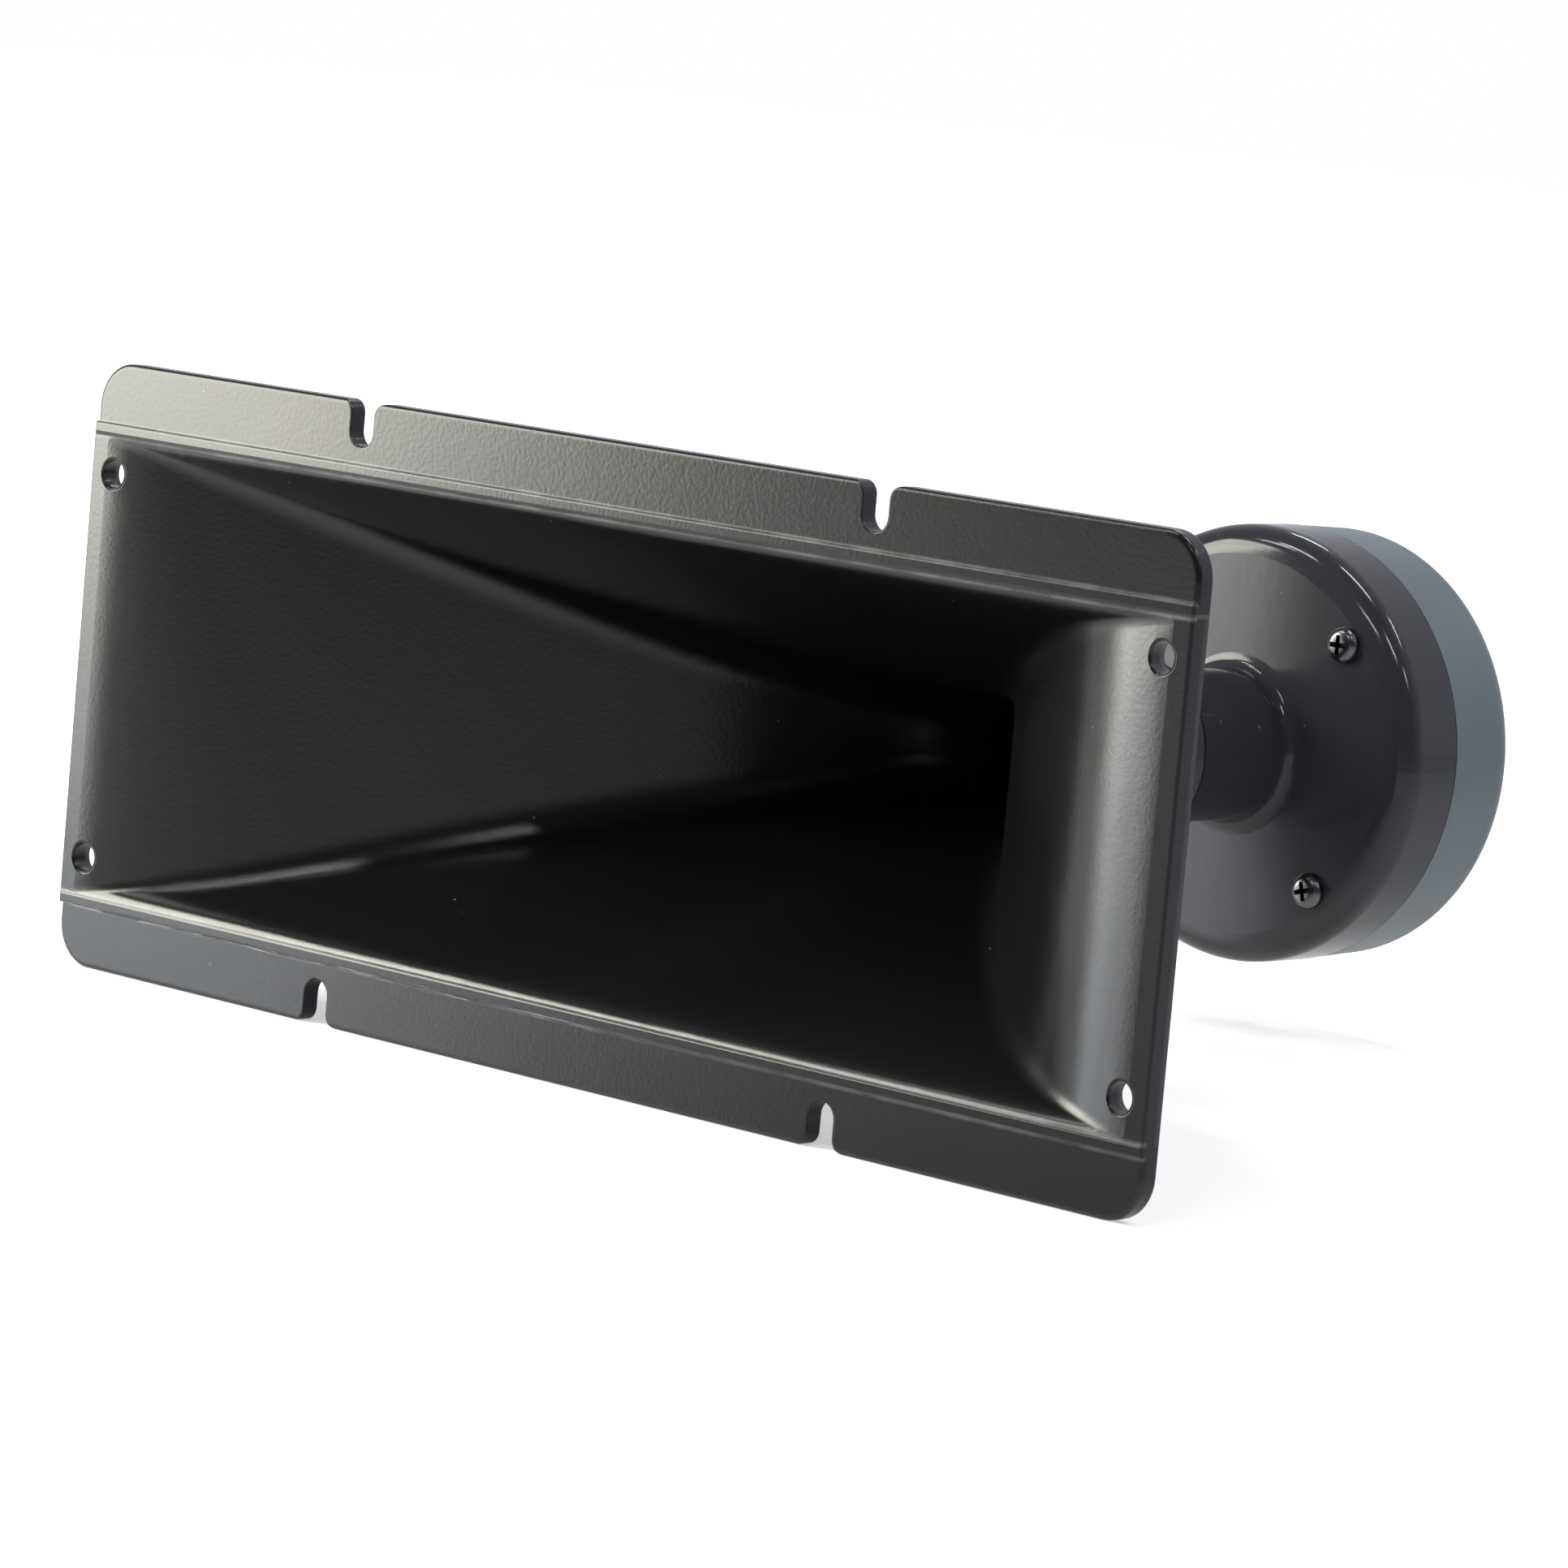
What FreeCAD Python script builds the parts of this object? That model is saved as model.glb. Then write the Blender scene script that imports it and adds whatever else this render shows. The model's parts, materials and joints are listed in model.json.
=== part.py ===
"""Wide-dispersion horn tweeter: a rectangular moulded horn with a small dynamic driver behind it.

Millimetres. X runs along the flange's width, Y from the mouth back to the driver, Z up. The
origin is the centre of the flange's rear face, on the horn's axis, where the horn meets a baffle.
"""
import FreeCAD, Part
import math
import os

V = FreeCAD.Vector
CENTRE = V(0, 0, 0)
ALONG_X = V(1, 0, 0)
ALONG_Y = V(0, 1, 0)

# Working allowances: cutters run past what they cut, and lengths this near are the same
CUT_MARGIN = 1.0
SAME = 1e-6

# Flange
FLANGE_W = 266.7
FLANGE_H = 112.5
FLANGE_T = 3.4
FLANGE_CORNER_R = 8.0
FLANGE_EDGE_R = 0.9
BAND_INSET = 11.25
BAND_RAISE = 0.6
BAND_EDGE_R = 0.45
MOUNT_HOLE_D = 5.5
MOUNT_HOLE_INSET_X = 5.85
MOUNT_HOLE_INSET_Z = 20.5
NOTCH_W = 6.0
NOTCH_SPACING_X = 125.0
NOTCH_DEPTH = 8.3
NOTCH_CORNER_R = 2.5
NOTCH_END_RATIO = 0.98

# Flare: each half size is the throat's plus a power-law flare plus a lip, which leaves the mouth's
# face almost flat and dies out inward. The mouth stops short of the flange's ends and of the
# band's edges by its rim.
THROAT_D = 19.0
FLARE_LENGTH = 131.6
MOUTH_RIM_X = 3.95
MOUTH_RIM_Z = 2.5
FLARE_POWER_W = 1.6
FLARE_POWER_H = 2.03
LIP_HALF_W = 25.9
LIP_LENGTH_W = 5.6
LIP_HALF_H = 1.5
LIP_LENGTH_H = 0.6
LIP_EASE = 0.1
MOUTH_CORNER_R = 1.2
THROAT_ROUND_RATIO = 0.94
ROUND_POWER = 0.8
MOUTH_BOW = 0.3
LEAST_BOW = 0.01
HORN_WALL = 3.0
WALL_POWER = 4
FLARE_SECTIONS = 16
SECTION_POWER = 3.0
SLOPE_STEP = 0.1

# Hub at the throat, and the ribs behind the flange
HUB_D = 35.0
HUB_SINK = 1.5
HUB_LEAD = 5.0
HUB_EDGE_R = 1.0
SOCKET_D = 26.0
SOCKET_DEPTH = 16.0
RIB_T = 2.2
RIB_SPACING_X = 72.0
RIB_LENGTH = 34.0
RIB_EDGE_GAP = 4.0

# Driver front cover
NECK_D = 29.0
NECK_LENGTH = 28.0
NECK_FILLET_R = 3.0
COVER_DEPTH = 15.4
COVER_SHOULDER_R = 5.5
COVER_WALL = 2.4
COVER_FACE_T = 2.8
COVER_TUBE_WALL = 3.5
PLUG_SHOULDER_T = 3.9

# Rear housing and the seal between it and the cover
SEAL_T = 0.4
SEAL_INSET = 0.45
HOUSING_STEP = 0.1
HOUSING_DEPTH = 18.6
HOUSING_DRAFT = 0.7
HOUSING_EDGE_R = 4.5
HOUSING_WALL = 2.2

# Four cover screws, pan head with a cross recess, in posts that stand between magnet and outside
POST_D = 7.0
POST_MAGNET_GAP = 1.0
POST_OUTER_MARGIN = 5.0
COVER_SCREW_TURN = 41.7
COVER_SCREW_COUNT = 4
SCREW_SHANK_D = 3.5
SCREW_LENGTH = 25.0
SCREW_HEAD_D = 6.8
SCREW_HEAD_H = 2.4
SCREW_RECESS_W = 0.95
SCREW_RECESS_SPAN = 3.9
SCREW_RECESS_DEPTH = 1.5
SCREW_CLEARANCE = 0.15
THREAD_CLEARANCE = 0.02
SCREW_END_SPARE = 1.0
HEAD_ROUND_RATIO = 0.8
DRIVEN_TURN_STEP = 25.0

# Motor
MAGNET_OUTER_D = 58.0
MAGNET_INNER_D = 32.0
MAGNET_T = 10.0
MAGNET_CHAMFER = 1.0
PLATE_INSET = 1.0
YOKE_T = 4.5
TOP_PLATE_T = 4.5
POLE_VENT_D = 5.0
STEEL_EDGE_R = 0.4
YOKE_REAR_EDGE_R = 0.8

# Voice coil and diaphragm
COIL_INNER_D = 25.4
FORMER_T = 0.2
COIL_T = 0.4
COIL_LENGTH = 5.4
FORMER_LENGTH = 7.6
POLE_CLEARANCE = 0.4
GAP_CLEARANCE = 0.4
DOME_RISE = 4.2
DOME_T = 0.3
SURROUND_T = 0.25
SURROUND_ROLL = 0.75
SURROUND_LAND = 1.0
SURROUND_GAP = 0.05
DIAPHRAGM_RING_D = 53.0
DIAPHRAGM_RING_BORE = 32.0
DIAPHRAGM_RING_T = 2.0
DIAPHRAGM_RING_EDGE_R = 0.4
GASKET_T = 1.0
PAD_T = 1.4
PAD_CLEARANCE = 3.2

# Three screws that hold the diaphragm ring
RING_SCREW_PCD = 47.5
RING_SCREW_COUNT = 3
RING_SCREW_TURN = 30.0
RING_SCREW_SHANK_D = 2.5
RING_SCREW_LENGTH = 6.0
RING_SCREW_HEAD_D = 4.4
RING_SCREW_HEAD_H = 1.4
RING_SCREW_RECESS_W = 0.6
RING_SCREW_RECESS_SPAN = 2.4
RING_SCREW_RECESS_DEPTH = 0.8

# Phase plug
PLUG_BULLET_D = 14.4
PLUG_NOSE_LENGTH = 17.0
PLUG_NOSE_RATIO = 0.7
PLUG_DOME_GAP = 0.9
PLUG_EXIT_D = 23.2
PLUG_SEAT_STEP = 0.5
PLUG_WEB_T = 1.4
PLUG_WEB_COUNT = 3
PLUG_WEB_TURN = 90.0
PLUG_WEB_INSET = 1.0
PLUG_REAR_CLEARANCE = 0.5

# Terminals on the housing's side
PAD_STAND = 2.7
PAD_W = 27.0
PAD_H = 13.0
WINDOW_W = 15.0
WINDOW_H = 7.6
BOARD_T = 2.0
BOARD_MARGIN = 0.6
BOARD_CORNER_R = 1.0
TAB_SPACING = 9.4
TAB_WIDTHS = {"terminal_positive": 6.3, "terminal_negative": 4.8}
TAB_T = 0.8
TAB_LENGTH = 8.5
TAB_FOOT_MARGIN = 0.2
TAB_TIP = 1.3
TAB_HOLE_D = 1.7
TAB_HOLE_INSET = 2.6
RIVET_D = 2.2
RIVET_HEAD_D = 3.8
RIVET_HEAD_H = 0.7
BOARD_SCREW_D = 2.2
BOARD_SCREW_HEAD_D = 3.6
BOARD_SCREW_HEAD_H = 1.1
BOARD_SCREW_LENGTH = 6.0
PILOT_SPARE = 0.3
BOARD_SCREW_RECESS_W = 0.5
BOARD_SCREW_RECESS_SPAN = 2.0
BOARD_SCREW_RECESS_DEPTH = 0.6
LEAD_D = 1.2
LEAD_BEND_R = 2.4
LEAD_GAP = 0.15
LUG_D = 3.4
LUG_T = 0.5

# Places along the axis, from the mouth back
FRONT_Y = -(FLANGE_T + BAND_RAISE)
THROAT_Y = FRONT_Y + FLARE_LENGTH
HUB_END_Y = THROAT_Y + SOCKET_DEPTH
FACE_Y = HUB_END_Y + NECK_LENGTH
SEAM_Y = FACE_Y + COVER_DEPTH
HOUSING_FRONT_Y = SEAM_Y + SEAL_T
HOUSING_REAR_Y = HOUSING_FRONT_Y + HOUSING_DEPTH
FLOOR_Y = HOUSING_REAR_Y - HOUSING_WALL
YOKE_FRONT_Y = FLOOR_Y - YOKE_T
MAGNET_FRONT_Y = YOKE_FRONT_Y - MAGNET_T
TOP_PLATE_FRONT_Y = MAGNET_FRONT_Y - TOP_PLATE_T
RING_FRONT_Y = TOP_PLATE_FRONT_Y - DIAPHRAGM_RING_T
TUBE_END_Y = RING_FRONT_Y - GASKET_T
PLUG_SEAT_Y = FACE_Y + PLUG_SHOULDER_T

# Sizes that follow from the ones above
BAND_H = FLANGE_H - 2 * BAND_INSET
MOUNT_HOLE_SPACING_X = FLANGE_W - 2 * MOUNT_HOLE_INSET_X
MOUNT_HOLE_SPACING_Z = FLANGE_H - 2 * MOUNT_HOLE_INSET_Z
FLARE_HALF_W = FLANGE_W / 2 - MOUTH_RIM_X - THROAT_D / 2 - LIP_HALF_W
FLARE_HALF_H = BAND_H / 2 - MOUTH_RIM_Z - THROAT_D / 2 - LIP_HALF_H
TOP_PLATE_D = MAGNET_OUTER_D - 2 * PLATE_INSET
YOKE_D = TOP_PLATE_D
COVER_SCREW_PCD = MAGNET_OUTER_D + 2 * POST_MAGNET_GAP + POST_D
COVER_D = COVER_SCREW_PCD + POST_D + 2 * POST_OUTER_MARGIN
HOUSING_D = COVER_D - 2 * HOUSING_STEP
PAD_FACE_X = HOUSING_D / 2 + PAD_STAND

# Radii that several pieces share
THROAT_R = THROAT_D / 2
HUB_R = HUB_D / 2
FORMER_R = COIL_INNER_D / 2
COIL_INNER_R = FORMER_R + FORMER_T
COIL_OUTER_R = COIL_INNER_R + COIL_T
POLE_R = FORMER_R - POLE_CLEARANCE
GAP_R = COIL_OUTER_R + GAP_CLEARANCE
RING_BORE_R = DIAPHRAGM_RING_BORE / 2
PLUG_SEAT_R = RING_BORE_R + PLUG_SEAT_STEP
GASKET_INNER_R = RING_BORE_R + SURROUND_LAND
TUBE_R = PLUG_SEAT_R + COVER_TUBE_WALL
DOME_RIM_Y = RING_FRONT_Y - SURROUND_T
DOME_SPHERE_R = (FORMER_R ** 2 + DOME_RISE ** 2) / (2 * DOME_RISE)
DOME_CENTRE_Y = DOME_RIM_Y - DOME_RISE + DOME_SPHERE_R
PAD_CENTRE_Y = (HOUSING_FRONT_Y + FLOOR_Y) / 2
LEAD_RUN_R = (MAGNET_OUTER_D / 2 + HOUSING_D / 2 - HOUSING_DRAFT - HOUSING_WALL) / 2


def rounded_wire(corners, place):
    """Closed outline through (u, v, radius) corners, each rounded by a tangent arc."""
    ends = []
    edges = []
    count = len(corners)
    for i, (u, v, radius) in enumerate(corners):
        here = V(u, v, 0)
        before = V(*corners[i - 1][:2], 0) - here
        after = V(*corners[(i + 1) % count][:2], 0) - here
        if radius <= 0:
            ends.append((here, here))
            continue
        before.normalize()
        after.normalize()
        half = before.getAngle(after) / 2
        start = here + before * (radius / math.tan(half))
        stop = here + after * (radius / math.tan(half))
        bisector = (before + after).normalize()
        middle = here + bisector * (radius / math.sin(half) - radius)
        edges.append(Part.Arc(place(start), place(middle), place(stop)).toShape())
        ends.append((start, stop))
    for i in range(count):
        start = ends[i - 1][1]
        stop = ends[i][0]
        if start.distanceToPoint(stop) > SAME:
            edges.append(Part.makeLine(place(start), place(stop)))
    return Part.Wire(Part.__sortEdges__(edges))


def turned(corners):
    """Solid of revolution about the horn's axis from (radius, y, corner radius) points."""
    wire = rounded_wire(corners, lambda p: V(p.x, p.y, 0))
    return Part.Face(wire).revolve(CENTRE, ALONG_Y, 360)


def plate(corners, y0, y1):
    """Prism of an (x, z, corner radius) outline between two depths."""
    wire = rounded_wire(corners, lambda p: V(p.x, y0, p.y))
    return Part.Face(wire).extrude(V(0, y1 - y0, 0))


def rectangle(half_x, half_z, radius):
    """Corners of a centred rectangle for rounded_wire."""
    return [(-half_x, -half_z, radius), (half_x, -half_z, radius), (half_x, half_z, radius),
            (-half_x, half_z, radius)]


def tube(outer_r, inner_r, y0, y1):
    """Plain ring between two depths."""
    return rod(outer_r, y0, y1).cut(rod(inner_r, y0, y1))


def rod(radius, y0, y1, x=0.0, z=0.0):
    """Cylinder along the horn's axis direction between two depths."""
    return Part.makeCylinder(radius, y1 - y0, V(x, y0, z), ALONG_Y)


def on_circle(pcd, count, turn):
    """Places (x, z) spread evenly on a pitch circle."""
    angles = [math.radians(turn + 360.0 * i / count) for i in range(count)]
    return [(pcd / 2 * math.cos(a), pcd / 2 * math.sin(a)) for a in angles]


def union(shapes):
    """Fuse shapes into one solid and merge the faces that lie on one surface."""
    return shapes[0].multiFuse(shapes[1:]).removeSplitter()


def write(shape, name):
    """Write one node's solids to its own file."""
    shape.exportStep("parts/" + name + ".step")


def cover_screw_places():
    """Places of the four cover screws; the driver is turned a little on the horn."""
    return on_circle(COVER_SCREW_PCD, COVER_SCREW_COUNT, COVER_SCREW_TURN)


def lip(depth, reach, length):
    """How far the lip adds to a half size at a depth: all of its reach at the mouth, none at the throat."""
    run = math.sqrt(max(depth, 0.0) + LIP_EASE) - math.sqrt(LIP_EASE)
    return reach * math.exp(-run / math.sqrt(length)) * max(1 - depth / FLARE_LENGTH, 0.0)


def half_width(depth):
    """Inner half width of the flare at a depth behind the band's front face."""
    body = max(1 - depth / FLARE_LENGTH, 0.0) ** FLARE_POWER_W
    return THROAT_R + FLARE_HALF_W * body + lip(depth, LIP_HALF_W, LIP_LENGTH_W)


def half_height(depth):
    """Inner half height of the flare at a depth behind the band's front face."""
    body = max(1 - depth / FLARE_LENGTH, 0.0) ** FLARE_POWER_H
    return THROAT_R + FLARE_HALF_H * body + lip(depth, LIP_HALF_H, LIP_LENGTH_H)


def wall_offset(size, depth):
    """How far out the flare's outer face stands: the wall on the slope, thicker near the hub."""
    slope = (size(depth + SLOPE_STEP) - size(depth - SLOPE_STEP)) / (2 * SLOPE_STEP)
    blend = (depth / FLARE_LENGTH) ** WALL_POWER
    at_hub = HUB_R - HUB_SINK - THROAT_R
    return HORN_WALL * math.hypot(1, slope) * (1 - blend) + at_hub * blend


def section(half_x, half_z, corner, bow, y):
    """Rounded rectangle of eight edges whose top and bottom bow outwards."""
    flat_x = half_x - corner
    flat_z = half_z - corner
    reach = corner * math.sqrt(0.5)
    edges = []
    for sx, sz in ((1, 1), (-1, -1)):
        side_low = V(sx * half_x, y, -sz * flat_z)
        side_high = V(sx * half_x, y, sz * flat_z)
        top_near = V(sx * flat_x, y, sz * half_z)
        top_far = V(-sx * flat_x, y, sz * half_z)
        next_side = V(-sx * half_x, y, sz * flat_z)
        near_mid = V(sx * (flat_x + reach), y, sz * (flat_z + reach))
        far_mid = V(-sx * (flat_x + reach), y, sz * (flat_z + reach))
        edges.append(Part.makeLine(side_low, side_high))
        edges.append(Part.Arc(side_high, near_mid, top_near).toShape())
        edges.append(Part.Arc(top_near, V(0, y, sz * (half_z + bow)), top_far).toShape())
        edges.append(Part.Arc(top_far, far_mid, next_side).toShape())
    return Part.Wire(edges)


def flare_section(depth, outer):
    """Section of the flare at a depth: its inner face, or its outer one."""
    half_x = half_width(depth)
    half_z = half_height(depth)
    share = max(depth / FLARE_LENGTH, 0.0)
    round_r = MOUTH_CORNER_R + (THROAT_ROUND_RATIO * THROAT_R - MOUTH_CORNER_R) * share ** ROUND_POWER
    if outer:
        grow = wall_offset(half_height, depth)
        half_x += wall_offset(half_width, depth)
        half_z += grow
        round_r += THROAT_ROUND_RATIO * grow
    bow = LEAST_BOW + MOUTH_BOW * (1 - share)
    return section(half_x, half_z, round_r, bow, FRONT_Y + depth)


def flare(first_depth, outer):
    """Loft of the flare from a first depth to the throat, closer sections near the mouth."""
    run = FLARE_LENGTH - first_depth
    shares = [(i / FLARE_SECTIONS) ** SECTION_POWER for i in range(FLARE_SECTIONS + 1)]
    return Part.makeLoft([flare_section(first_depth + run * share, outer) for share in shares], True, False)


def flange_plate():
    """Flange with its raised centre band, front edges rounded."""
    half_x = FLANGE_W / 2
    base = plate(rectangle(half_x, FLANGE_H / 2, FLANGE_CORNER_R), -FLANGE_T, 0)
    front = [e for e in base.Edges if abs(e.BoundBox.YMax + FLANGE_T) < SAME]
    base = base.makeFillet(FLANGE_EDGE_R, front)
    band = Part.makeBox(FLANGE_W, FLANGE_T, BAND_H, V(-half_x, FRONT_Y, -BAND_H / 2))
    rim = [e for e in band.Edges if abs(e.BoundBox.YMax - FRONT_Y) < SAME]
    band = band.makeFillet(BAND_EDGE_R, rim)
    return union([base, band])


def notch(x, side):
    """Cutter for one open slot at the flange's top (side 1) or bottom (side -1) edge."""
    edge_z = FLANGE_H / 2
    half = NOTCH_W / 2
    mouth = half + NOTCH_CORNER_R
    far_z = edge_z + 2 * NOTCH_CORNER_R
    low_z = edge_z - NOTCH_DEPTH
    end_r = half * NOTCH_END_RATIO
    corners = [(x - half, side * low_z, end_r), (x + half, side * low_z, end_r),
               (x + half, side * edge_z, NOTCH_CORNER_R), (x + mouth + half, side * edge_z, 0),
               (x + mouth + half, side * far_z, 0), (x - mouth - half, side * far_z, 0),
               (x - mouth - half, side * edge_z, 0), (x - half, side * edge_z, NOTCH_CORNER_R)]
    return plate(corners, FRONT_Y - CUT_MARGIN, CUT_MARGIN)


def rib(x, side):
    """Triangular rib between the flange's rear face and the flare's top or bottom wall."""
    top_z = FLANGE_H / 2 - RIB_EDGE_GAP
    root = FLANGE_T / 2
    tip_depth = RIB_LENGTH - FRONT_Y
    tip_z = half_height(tip_depth)
    points = [(-root, top_z), (0, top_z), (RIB_LENGTH, tip_z + HORN_WALL), (RIB_LENGTH, tip_z),
              (-root, half_height(0))]
    vectors = [V(x - RIB_T / 2, y, side * z) for y, z in points]
    return Part.Face(Part.makePolygon(vectors + vectors[:1])).extrude(V(RIB_T, 0, 0))


def horn():
    """The one-piece moulded horn: flange, flare, ribs and the socket hub at the throat."""
    outer = flare(FLANGE_T, True)
    hub_start = THROAT_Y - HUB_LEAD
    hub = turned([(0, hub_start, 0), (HUB_R, hub_start, HUB_EDGE_R), (HUB_R, HUB_END_Y, HUB_EDGE_R),
                  (0, HUB_END_Y, 0)])
    ribs = [rib(sx * RIB_SPACING_X / 2, sz) for sx in (-1, 1) for sz in (-1, 1)]
    body = union([flange_plate(), outer, hub] + ribs)
    cutters = [flare(0, False), rod(SOCKET_D / 2, THROAT_Y, HUB_END_Y)]
    for sx in (-1, 1):
        for sz in (-1, 1):
            x = sx * MOUNT_HOLE_SPACING_X / 2
            z = sz * MOUNT_HOLE_SPACING_Z / 2
            cutters.append(rod(MOUNT_HOLE_D / 2, FRONT_Y - CUT_MARGIN, CUT_MARGIN, x, z))
            cutters.append(notch(sx * NOTCH_SPACING_X / 2, sz))
    return body.cut(cutters)


def front_cover():
    """Glossy moulded cover: spigot and neck with the throat bore, face, shoulder and rim."""
    cover_r = COVER_D / 2
    inner_r = cover_r - COVER_WALL
    inner_y = FACE_Y + COVER_FACE_T
    shell = turned([
        (THROAT_R, THROAT_Y, 0), (SOCKET_D / 2, THROAT_Y, 0), (SOCKET_D / 2, HUB_END_Y, 0),
        (NECK_D / 2, HUB_END_Y, 0), (NECK_D / 2, FACE_Y, NECK_FILLET_R),
        (cover_r, FACE_Y, COVER_SHOULDER_R), (cover_r, SEAM_Y, 0), (inner_r, SEAM_Y, 0),
        (inner_r, inner_y, COVER_SHOULDER_R - COVER_WALL), (TUBE_R, inner_y, 0),
        (TUBE_R, TUBE_END_Y, 0), (PLUG_SEAT_R, TUBE_END_Y, 0), (PLUG_SEAT_R, PLUG_SEAT_Y, 0),
        (THROAT_R, PLUG_SEAT_Y, 0)])
    places = cover_screw_places()
    posts = [rod(POST_D / 2, inner_y - COVER_FACE_T / 2, SEAM_Y, x, z) for x, z in places]
    hole_r = SCREW_SHANK_D / 2 + SCREW_CLEARANCE
    holes = [rod(hole_r, FACE_Y - CUT_MARGIN, SEAM_Y + CUT_MARGIN, x, z) for x, z in places]
    return union([shell] + posts).cut(holes)


def rear_housing():
    """Grey moulded cup with four screw posts and a flat pad with a window for the terminals."""
    front_r = HOUSING_D / 2
    rear_r = front_r - HOUSING_DRAFT
    wall = HOUSING_WALL
    cup = turned([
        (0, HOUSING_REAR_Y, 0), (rear_r, HOUSING_REAR_Y, HOUSING_EDGE_R), (front_r, HOUSING_FRONT_Y, 0),
        (front_r - wall, HOUSING_FRONT_Y, 0), (rear_r - wall, FLOOR_Y, HOUSING_EDGE_R - wall),
        (0, FLOOR_Y, 0)])
    posts = [rod(POST_D / 2, SEAM_Y, FLOOR_Y + wall / 2, x, z) for x, z in cover_screw_places()]
    pad_depth = PAD_FACE_X - (rear_r - wall / 2)
    pad_y = PAD_CENTRE_Y - PAD_H / 2
    pad = Part.makeBox(pad_depth + wall, PAD_H, PAD_W, V(-PAD_FACE_X, pad_y, -PAD_W / 2))
    inside = rod(rear_r - wall, HOUSING_FRONT_Y, FLOOR_Y)
    body = union([cup, pad.cut(inside)] + posts)
    hole_r = SCREW_SHANK_D / 2 + THREAD_CLEARANCE
    hole_end = FACE_Y + SCREW_LENGTH + SCREW_END_SPARE
    holes = [rod(hole_r, SEAM_Y - CUT_MARGIN, hole_end, x, z) for x, z in cover_screw_places()]
    window = Part.makeBox(PAD_FACE_X, WINDOW_H, WINDOW_W,
                          V(-PAD_FACE_X, PAD_CENTRE_Y - WINDOW_H / 2, -WINDOW_W / 2))
    window = window.cut(rod(rear_r - 2 * wall, HOUSING_FRONT_Y, FLOOR_Y))
    pilots = [sideways_rod(BOARD_SCREW_D / 2 + THREAD_CLEARANCE, -PAD_FACE_X, pilot_end(), z)
              for z in board_screw_places()]
    return body.cut(holes + [window] + pilots)


def sideways_rod(radius, x0, x1, z):
    """Cylinder along X between two places, at the terminal pad's middle depth."""
    return Part.makeCylinder(radius, x1 - x0, V(x0, PAD_CENTRE_Y, z), ALONG_X)


def board_screw_places():
    """Heights of the two screws that hold the terminal board."""
    reach = (PAD_W + WINDOW_W) / 4
    return [-reach, reach]


def pilot_end():
    """Inner end of the board screws' pilot holes."""
    return -PAD_FACE_X - BOARD_T + BOARD_SCREW_LENGTH + PILOT_SPARE


def housing_seal():
    """Thin dark ring in the seam between cover and housing."""
    outer_r = HOUSING_D / 2 - SEAL_INSET
    return tube(outer_r, outer_r - HOUSING_WALL + SEAL_INSET, SEAM_Y, HOUSING_FRONT_Y)


def pan_screw(head_d, head_h, shank_d, length, recess_w, recess_span, recess_depth):
    """Pan-head screw along +Y, head's underside at the origin, with a cross recess."""
    head_r = head_d / 2
    body = turned([(0, -head_h, 0), (head_r, -head_h, head_h * HEAD_ROUND_RATIO), (head_r, 0, 0),
                   (shank_d / 2, 0, 0), (shank_d / 2, length - shank_d / 2, 0),
                   (0, length, 0)])
    cutters = []
    for long_x, long_z in ((recess_span, recess_w), (recess_w, recess_span)):
        corner = V(-long_x / 2, -head_h, -long_z / 2)
        cutters.append(Part.makeBox(long_x, recess_depth, long_z, corner))
    return body.cut(cutters)


def placed(shape, places, y):
    """Copies of a screw at (x, z) places, each driven to its own turn, as one group of solids."""
    copies = []
    for i, (x, z) in enumerate(places):
        copy = shape.copy()
        copy.rotate(CENTRE, ALONG_Y, DRIVEN_TURN_STEP * i)
        copy.translate(V(x, y, z))
        copies.append(copy)
    return Part.makeCompound(copies)


def cover_screws():
    """The four screws that clamp cover and housing together."""
    screw = pan_screw(SCREW_HEAD_D, SCREW_HEAD_H, SCREW_SHANK_D, SCREW_LENGTH, SCREW_RECESS_W,
                      SCREW_RECESS_SPAN, SCREW_RECESS_DEPTH)
    return placed(screw, cover_screw_places(), FACE_Y)


def yoke():
    """Steel back plate with the pole piece, turned in one."""
    return turned([
        (POLE_VENT_D / 2, TOP_PLATE_FRONT_Y, 0), (POLE_R, TOP_PLATE_FRONT_Y, STEEL_EDGE_R),
        (POLE_R, YOKE_FRONT_Y, 0), (YOKE_D / 2, YOKE_FRONT_Y, STEEL_EDGE_R),
        (YOKE_D / 2, FLOOR_Y, YOKE_REAR_EDGE_R), (POLE_VENT_D / 2, FLOOR_Y, 0)])


def magnet():
    """Ferrite ring between the two plates."""
    ring = tube(MAGNET_OUTER_D / 2, MAGNET_INNER_D / 2, MAGNET_FRONT_Y, YOKE_FRONT_Y)
    rims = [e for e in ring.Edges if e.Curve.TypeId == "Part::GeomCircle"
            and e.Curve.Radius > (MAGNET_OUTER_D + MAGNET_INNER_D) / 4]
    return ring.makeChamfer(MAGNET_CHAMFER, rims)


def ring_screw_places():
    """Places of the screws that hold the diaphragm ring to the top plate."""
    return on_circle(RING_SCREW_PCD, RING_SCREW_COUNT, RING_SCREW_TURN)


def top_plate():
    """Steel front plate of the motor with the gap bore and three tapped holes."""
    outer_r = TOP_PLATE_D / 2
    body = turned([
        (GAP_R, TOP_PLATE_FRONT_Y, 0), (outer_r, TOP_PLATE_FRONT_Y, STEEL_EDGE_R),
        (outer_r, MAGNET_FRONT_Y, STEEL_EDGE_R), (GAP_R, MAGNET_FRONT_Y, 0)])
    hole_r = RING_SCREW_SHANK_D / 2 + THREAD_CLEARANCE
    holes = [rod(hole_r, TOP_PLATE_FRONT_Y - CUT_MARGIN, MAGNET_FRONT_Y + CUT_MARGIN, x, z)
             for x, z in ring_screw_places()]
    return body.cut(holes)


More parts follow.
